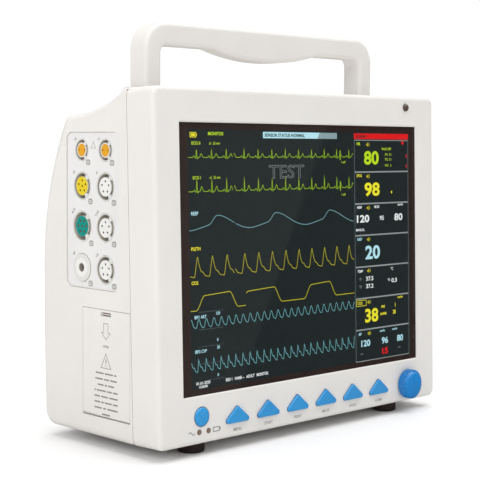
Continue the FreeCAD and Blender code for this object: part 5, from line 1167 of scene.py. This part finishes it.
# %% [markdown]
# ## Dial
#
# The dial turns under a thumb, so its side is ribbed and its face is a smooth low dome. The packed
# knob has simple flutes. A finer one is turned from a profile, as a lathe would do it, and replaces
# it. Modelling the ribs one by one would be dull and hard to change. Geometry nodes copy one rod
# around a circle, and the count, the sizes and the length are named inputs. The export drops
# instances, so the tree ends by making them real.

# %% Helpers that grow and turn a shape


def grown(name, build, material, **values):
    """A mesh made by geometry nodes; build(tree, given) returns the geometry to realise."""
    tree = bpy.data.node_groups.new(name, "GeometryNodeTree")
    for label, value in values.items():
        kind = "NodeSocketInt" if isinstance(value, int) else "NodeSocketFloat"
        tree.interface.new_socket(label, in_out="INPUT", socket_type=kind)
    tree.interface.new_socket("Geometry", in_out="OUTPUT", socket_type="NodeSocketGeometry")
    start = tree.nodes.new("NodeGroupInput")
    end = tree.nodes.new("NodeGroupOutput")
    real = add(tree, "GeometryNodeRealizeInstances", {"Geometry": build(tree, start.outputs)})
    finished = add(tree, "GeometryNodeSetMaterial",
                   {"Geometry": real.outputs["Geometry"], "Material": material})
    tree.links.new(finished.outputs["Geometry"], end.inputs["Geometry"])
    holder = bpy.data.objects.new(name, bpy.data.meshes.new(name))
    bpy.context.scene.collection.objects.link(holder)
    growth = holder.modifiers.new("growth", "NODES")
    growth.node_group = tree
    for item in tree.interface.items_tree:
        if item.in_out == "INPUT":
            growth[item.identifier] = values[item.name]
    holder.update_tag()
    depsgraph = bpy.context.evaluated_depsgraph_get()
    data = bpy.data.meshes.new_from_object(holder.evaluated_get(depsgraph), depsgraph=depsgraph)
    bpy.data.objects.remove(holder)
    return data


def ring_of_rods(tree, given):
    """One rod copied around a circle."""
    circle = add(tree, "GeometryNodeMeshCircle",
                 {"Vertices": given["Count"], "Radius": given["Ring Radius"]})
    rod = add(tree, "GeometryNodeMeshCylinder",
              {"Vertices": given["Sides"], "Radius": given["Rod Radius"], "Depth": given["Length"]})
    copies = add(tree, "GeometryNodeInstanceOnPoints",
                 {"Points": circle.outputs["Mesh"], "Instance": rod.outputs["Mesh"]})
    return copies.outputs["Instances"]


def turned(mesh, profile, sides):
    """Adds a closed turned shape to a bmesh; the profile runs from axis to axis as (radius, height)."""
    rings = []
    turns = [math.tau * k / sides for k in range(sides)]
    for radius, height in profile:
        places = [(radius * MM * math.cos(t), radius * MM * math.sin(t), height * MM) for t in turns]
        rings.append([mesh.verts.new(place) for place in (places if radius else places[:1])])
    for low, high in zip(rings, rings[1:]):
        for k in range(sides):
            j = (k + 1) % sides
            corners = [low[k % len(low)], low[j % len(low)], high[j % len(high)], high[k % len(high)]]
            mesh.faces.new(list(dict.fromkeys(corners)))


# %% Dial
DIAL_PROFILE = ((0, 0.75), (11.9, 0.75), (12.15, 1.0), (12.15, 1.5), (11.4, 1.7), (11.4, 6.3),
                (11.0, 6.9), (10.3, 7.0), (10.1, 7.4), (9.5, 8.0), (8.4, 8.5), (6.4, 8.8),
                (3.4, 8.95), (0, 9.0))
RIB_LOW, RIB_HIGH = 1.6, 6.6
dial_mesh = bmesh.new()
turned(dial_mesh, DIAL_PROFILE, 96)
bmesh.ops.recalc_face_normals(dial_mesh, faces=dial_mesh.faces)
ribs = grown("dial_ribs", ring_of_rods, dial_blue, **{
    "Count": 34, "Ring Radius": 11.38 * MM, "Rod Radius": 0.76 * MM, "Length": (RIB_HIGH - RIB_LOW) * MM,
    "Sides": 8})
ribs.transform(Matrix.Translation((0, 0, (RIB_LOW + RIB_HIGH) / 2 * MM)))
dial_mesh.from_mesh(ribs)
dial_data = bpy.data.meshes.new("dial_cap")
dial_mesh.to_mesh(dial_data)
dial_mesh.free()
dial_data.materials.clear()
dial_data.materials.append(dial_blue)
dial_data.shade_smooth()
dial_data.set_sharp_from_angle(angle=math.radians(32))
dial_data.transform(panel() @ Matrix.Translation((DIAL_X, -DIAL_DROP, 0)))
dial_cap = bpy.data.objects.new("dial_cap", dial_data)
bpy.context.scene.collection.objects.link(dial_cap)
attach(dial_cap, "dial")
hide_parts("knob")
print("dial", len(dial_data.vertices), "points")

# %% [markdown]
# ## Rear plate
#
# The plate on the back would hold the maker's data. It gets an outline, a square for a code and plain
# bars in place of words.

# %% Rear plate marks
plate_low, plate_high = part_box("rating_plate")
plate = face_matrix((0, plate_high.y, 0), (-1, 0, 0), (0, 0, 1))
plate_marks = Drawing("rating_plate_marks", plate, dark_ink, "label")
plate_x = -(plate_low.x + plate_high.x) / 2 / MM
plate_z = (plate_low.z + plate_high.z) / 2 / MM
plate_marks.frame(plate_x, plate_z, 74, 26, 0.4)
for row, words in enumerate(((8, 3, 6), (4, 7, 5, 6), (6, 2, 8, 3, 5), (5, 6, 4))):
    plate_marks.small_print(plate_x - 34, plate_z + 8.0 - row * 4.6, 44 - 5 * (row % 2), 1.6, words)
plate_marks.frame(plate_x + 25, plate_z, 16, 16, 0.5)
plate_marks.done()

# %% [markdown]
# ## Floor, lights and camera
#
# The monitor stands on a pale floor in a white studio. A wide sun overhead lights the floor evenly all
# the way back, which an area light can't do. A large soft light from the left shapes the side, and a
# weak one fills the front.
#
# The sky plays three parts, and a light path node tells them apart. The camera sees it white. Matt
# surfaces get a soft even light from it. Glossy surfaces see it dark near the horizon, which keeps
# the display black, and bright overhead, which gives metal and rounded edges their glint.

# %% Floor
FLOOR_REACH = 6.0
floor_mesh = bpy.data.meshes.new("floor")
floor_corners = [(FLOOR_REACH * a, FLOOR_REACH * b, 0) for a, b in CORNERS]
floor_mesh.from_pydata(floor_corners, [], [(0, 1, 2, 3)])
floor = bpy.data.objects.new("floor", floor_mesh)
bpy.context.scene.collection.objects.link(floor)
floor_material = finish_material("studio_floor", (0.93, 0.93, 0.93, 1), (0.92, 0.92, 0.92, 1), 0.7, 0.8,
                                 300.0, 0.02)
floor_mesh.materials.append(floor_material)
floor.visible_glossy = False
floor.visible_transmission = False
print("floor", 2 * FLOOR_REACH, "m wide")

# %% Area lights


def soft_light(name, place, target, size, power):
    """A square area light that looks at a target."""
    data = bpy.data.lights.new(name, "AREA")
    data.size = size
    data.energy = power
    light = bpy.data.objects.new(name, data)
    light.location = place
    light.rotation_euler = (Vector(target) - Vector(place)).to_track_quat("-Z", "Y").to_euler()
    bpy.context.scene.collection.objects.link(light)
    print(name, power, "W")


middle = (bounds_at_start[0] + bounds_at_start[1]) / 2
soft_light("key_light", (-1.9, -0.5, 1.3), middle, size=1.2, power=15)
soft_light("front_light", (0.3, -2.0, 1.2), middle, size=1.2, power=2)

# %% Overhead light
overhead_data = bpy.data.lights.new("overhead_light", "SUN")
overhead_data.energy = 2.1
overhead_data.angle = math.radians(70)
overhead = bpy.data.objects.new("overhead_light", overhead_data)
overhead.rotation_euler = (math.radians(3), math.radians(10), 0)
bpy.context.scene.collection.objects.link(overhead)
print("overhead light", overhead_data.energy)

# %% Sky
SEEN_SKY, SOFT_SKY, MIRRORED_SKY, MIRRORED_CEILING = 1.05, 0.5, 0.05, 0.8
world = bpy.data.worlds.new("studio")
world.use_nodes = True
sky = world.node_tree
surface = sky.nodes["Background"]
ray = add(sky, "ShaderNodeLightPath")
seen = add(sky, "ShaderNodeMath", {0: ray.outputs["Is Camera Ray"], 1: SEEN_SKY}, operation="MULTIPLY")
soft = add(sky, "ShaderNodeMath", {0: ray.outputs["Is Diffuse Ray"], 1: SOFT_SKY}, operation="MULTIPLY")
both = add(sky, "ShaderNodeMath", {0: seen.outputs["Value"], 1: soft.outputs["Value"]}, operation="ADD")
direction = add(sky, "ShaderNodeSeparateXYZ", {0: add(sky, "ShaderNodeTexCoord").outputs["Generated"]})
ceiling = add(sky, "ShaderNodeMapRange",
              {"Value": direction.outputs["Z"], "From Min": 0.2, "From Max": 0.6,
               "To Min": MIRRORED_SKY, "To Max": MIRRORED_CEILING})
glint = add(sky, "ShaderNodeMath", {0: ray.outputs["Is Glossy Ray"], 1: ceiling.outputs["Result"]},
            operation="MULTIPLY")
mirror = add(sky, "ShaderNodeMath", {0: glint.outputs["Value"], 1: MIRRORED_SKY}, operation="MAXIMUM")
level = add(sky, "ShaderNodeMath", {0: both.outputs["Value"], 1: mirror.outputs["Value"]},
            operation="MAXIMUM")
sky.links.new(level.outputs["Value"], surface.inputs["Strength"])
surface.inputs["Color"].default_value = (1, 1, 1, 1)
bpy.context.scene.world = world
print("sky seen", SEEN_SKY, "soft", SOFT_SKY, "mirrored", MIRRORED_SKY, "to", MIRRORED_CEILING)

# %% Camera
camera_data = bpy.data.cameras.new("camera")
camera_data.lens = 93.0
camera_data.sensor_width = 36.0
camera = bpy.data.objects.new("camera", camera_data)
camera.location = (-0.7325, -0.7384, 0.2244)
yaw, pitch, roll = math.radians(-44.14), math.radians(4.72), math.radians(0.40)
camera.rotation_euler = (Matrix.Rotation(yaw, 3, "Z") @ Matrix.Rotation(math.pi / 2 - pitch, 3, "X")
                         @ Matrix.Rotation(roll, 3, "Z")).to_euler()
bpy.context.scene.collection.objects.link(camera)
bpy.context.scene.camera = camera
bpy.context.scene.view_settings.view_transform = "Standard"
print("camera", camera_data.lens, "mm lens")

# %% [markdown]
# ### Reflection in the glass
#
# Something pale in the room shows in the left part of the glass, with a slanted edge. Painting it on
# the display would keep it there from every side. A dim card is put where the camera's rays land
# after the glass turns them back, so the reflection moves as a real one does. The camera, matt
# surfaces and shadows leave the card out.

# %% Card mirrored in the glass
GLASS_FRONT = min((point - SCREEN_CENTRE).dot(INWARD) for point in glass_points)
CARD_REACH, CARD_LEVEL = 1.2, 0.11


def mirrored(x, y):
    """Where a camera ray lands after the glass mirrors it at x, y of the panel."""
    point = panel(GLASS_FRONT) @ Vector((x * MM, y * MM, 0))
    ray = (point - camera.location).normalized()
    return point + (ray - 2 * ray.dot(INWARD) * INWARD) * CARD_REACH


card_mesh = bpy.data.meshes.new("mirrored_card")
card_corners = [mirrored(x, y) for x, y in ((23, 97), (-75, -98), (-150, -98), (-150, 97))]
card_mesh.from_pydata(card_corners, [], [(0, 1, 2, 3)])
card = bpy.data.objects.new("mirrored_card", card_mesh)
bpy.context.scene.collection.objects.link(card)
card_glow = lit_material("card_glow", (CARD_LEVEL, CARD_LEVEL, CARD_LEVEL, 1))
card_mesh.materials.append(card_glow)
card.visible_camera = card.visible_diffuse = card.visible_shadow = False
print("card corners", [[round(c, 2) for c in corner] for corner in card_corners])
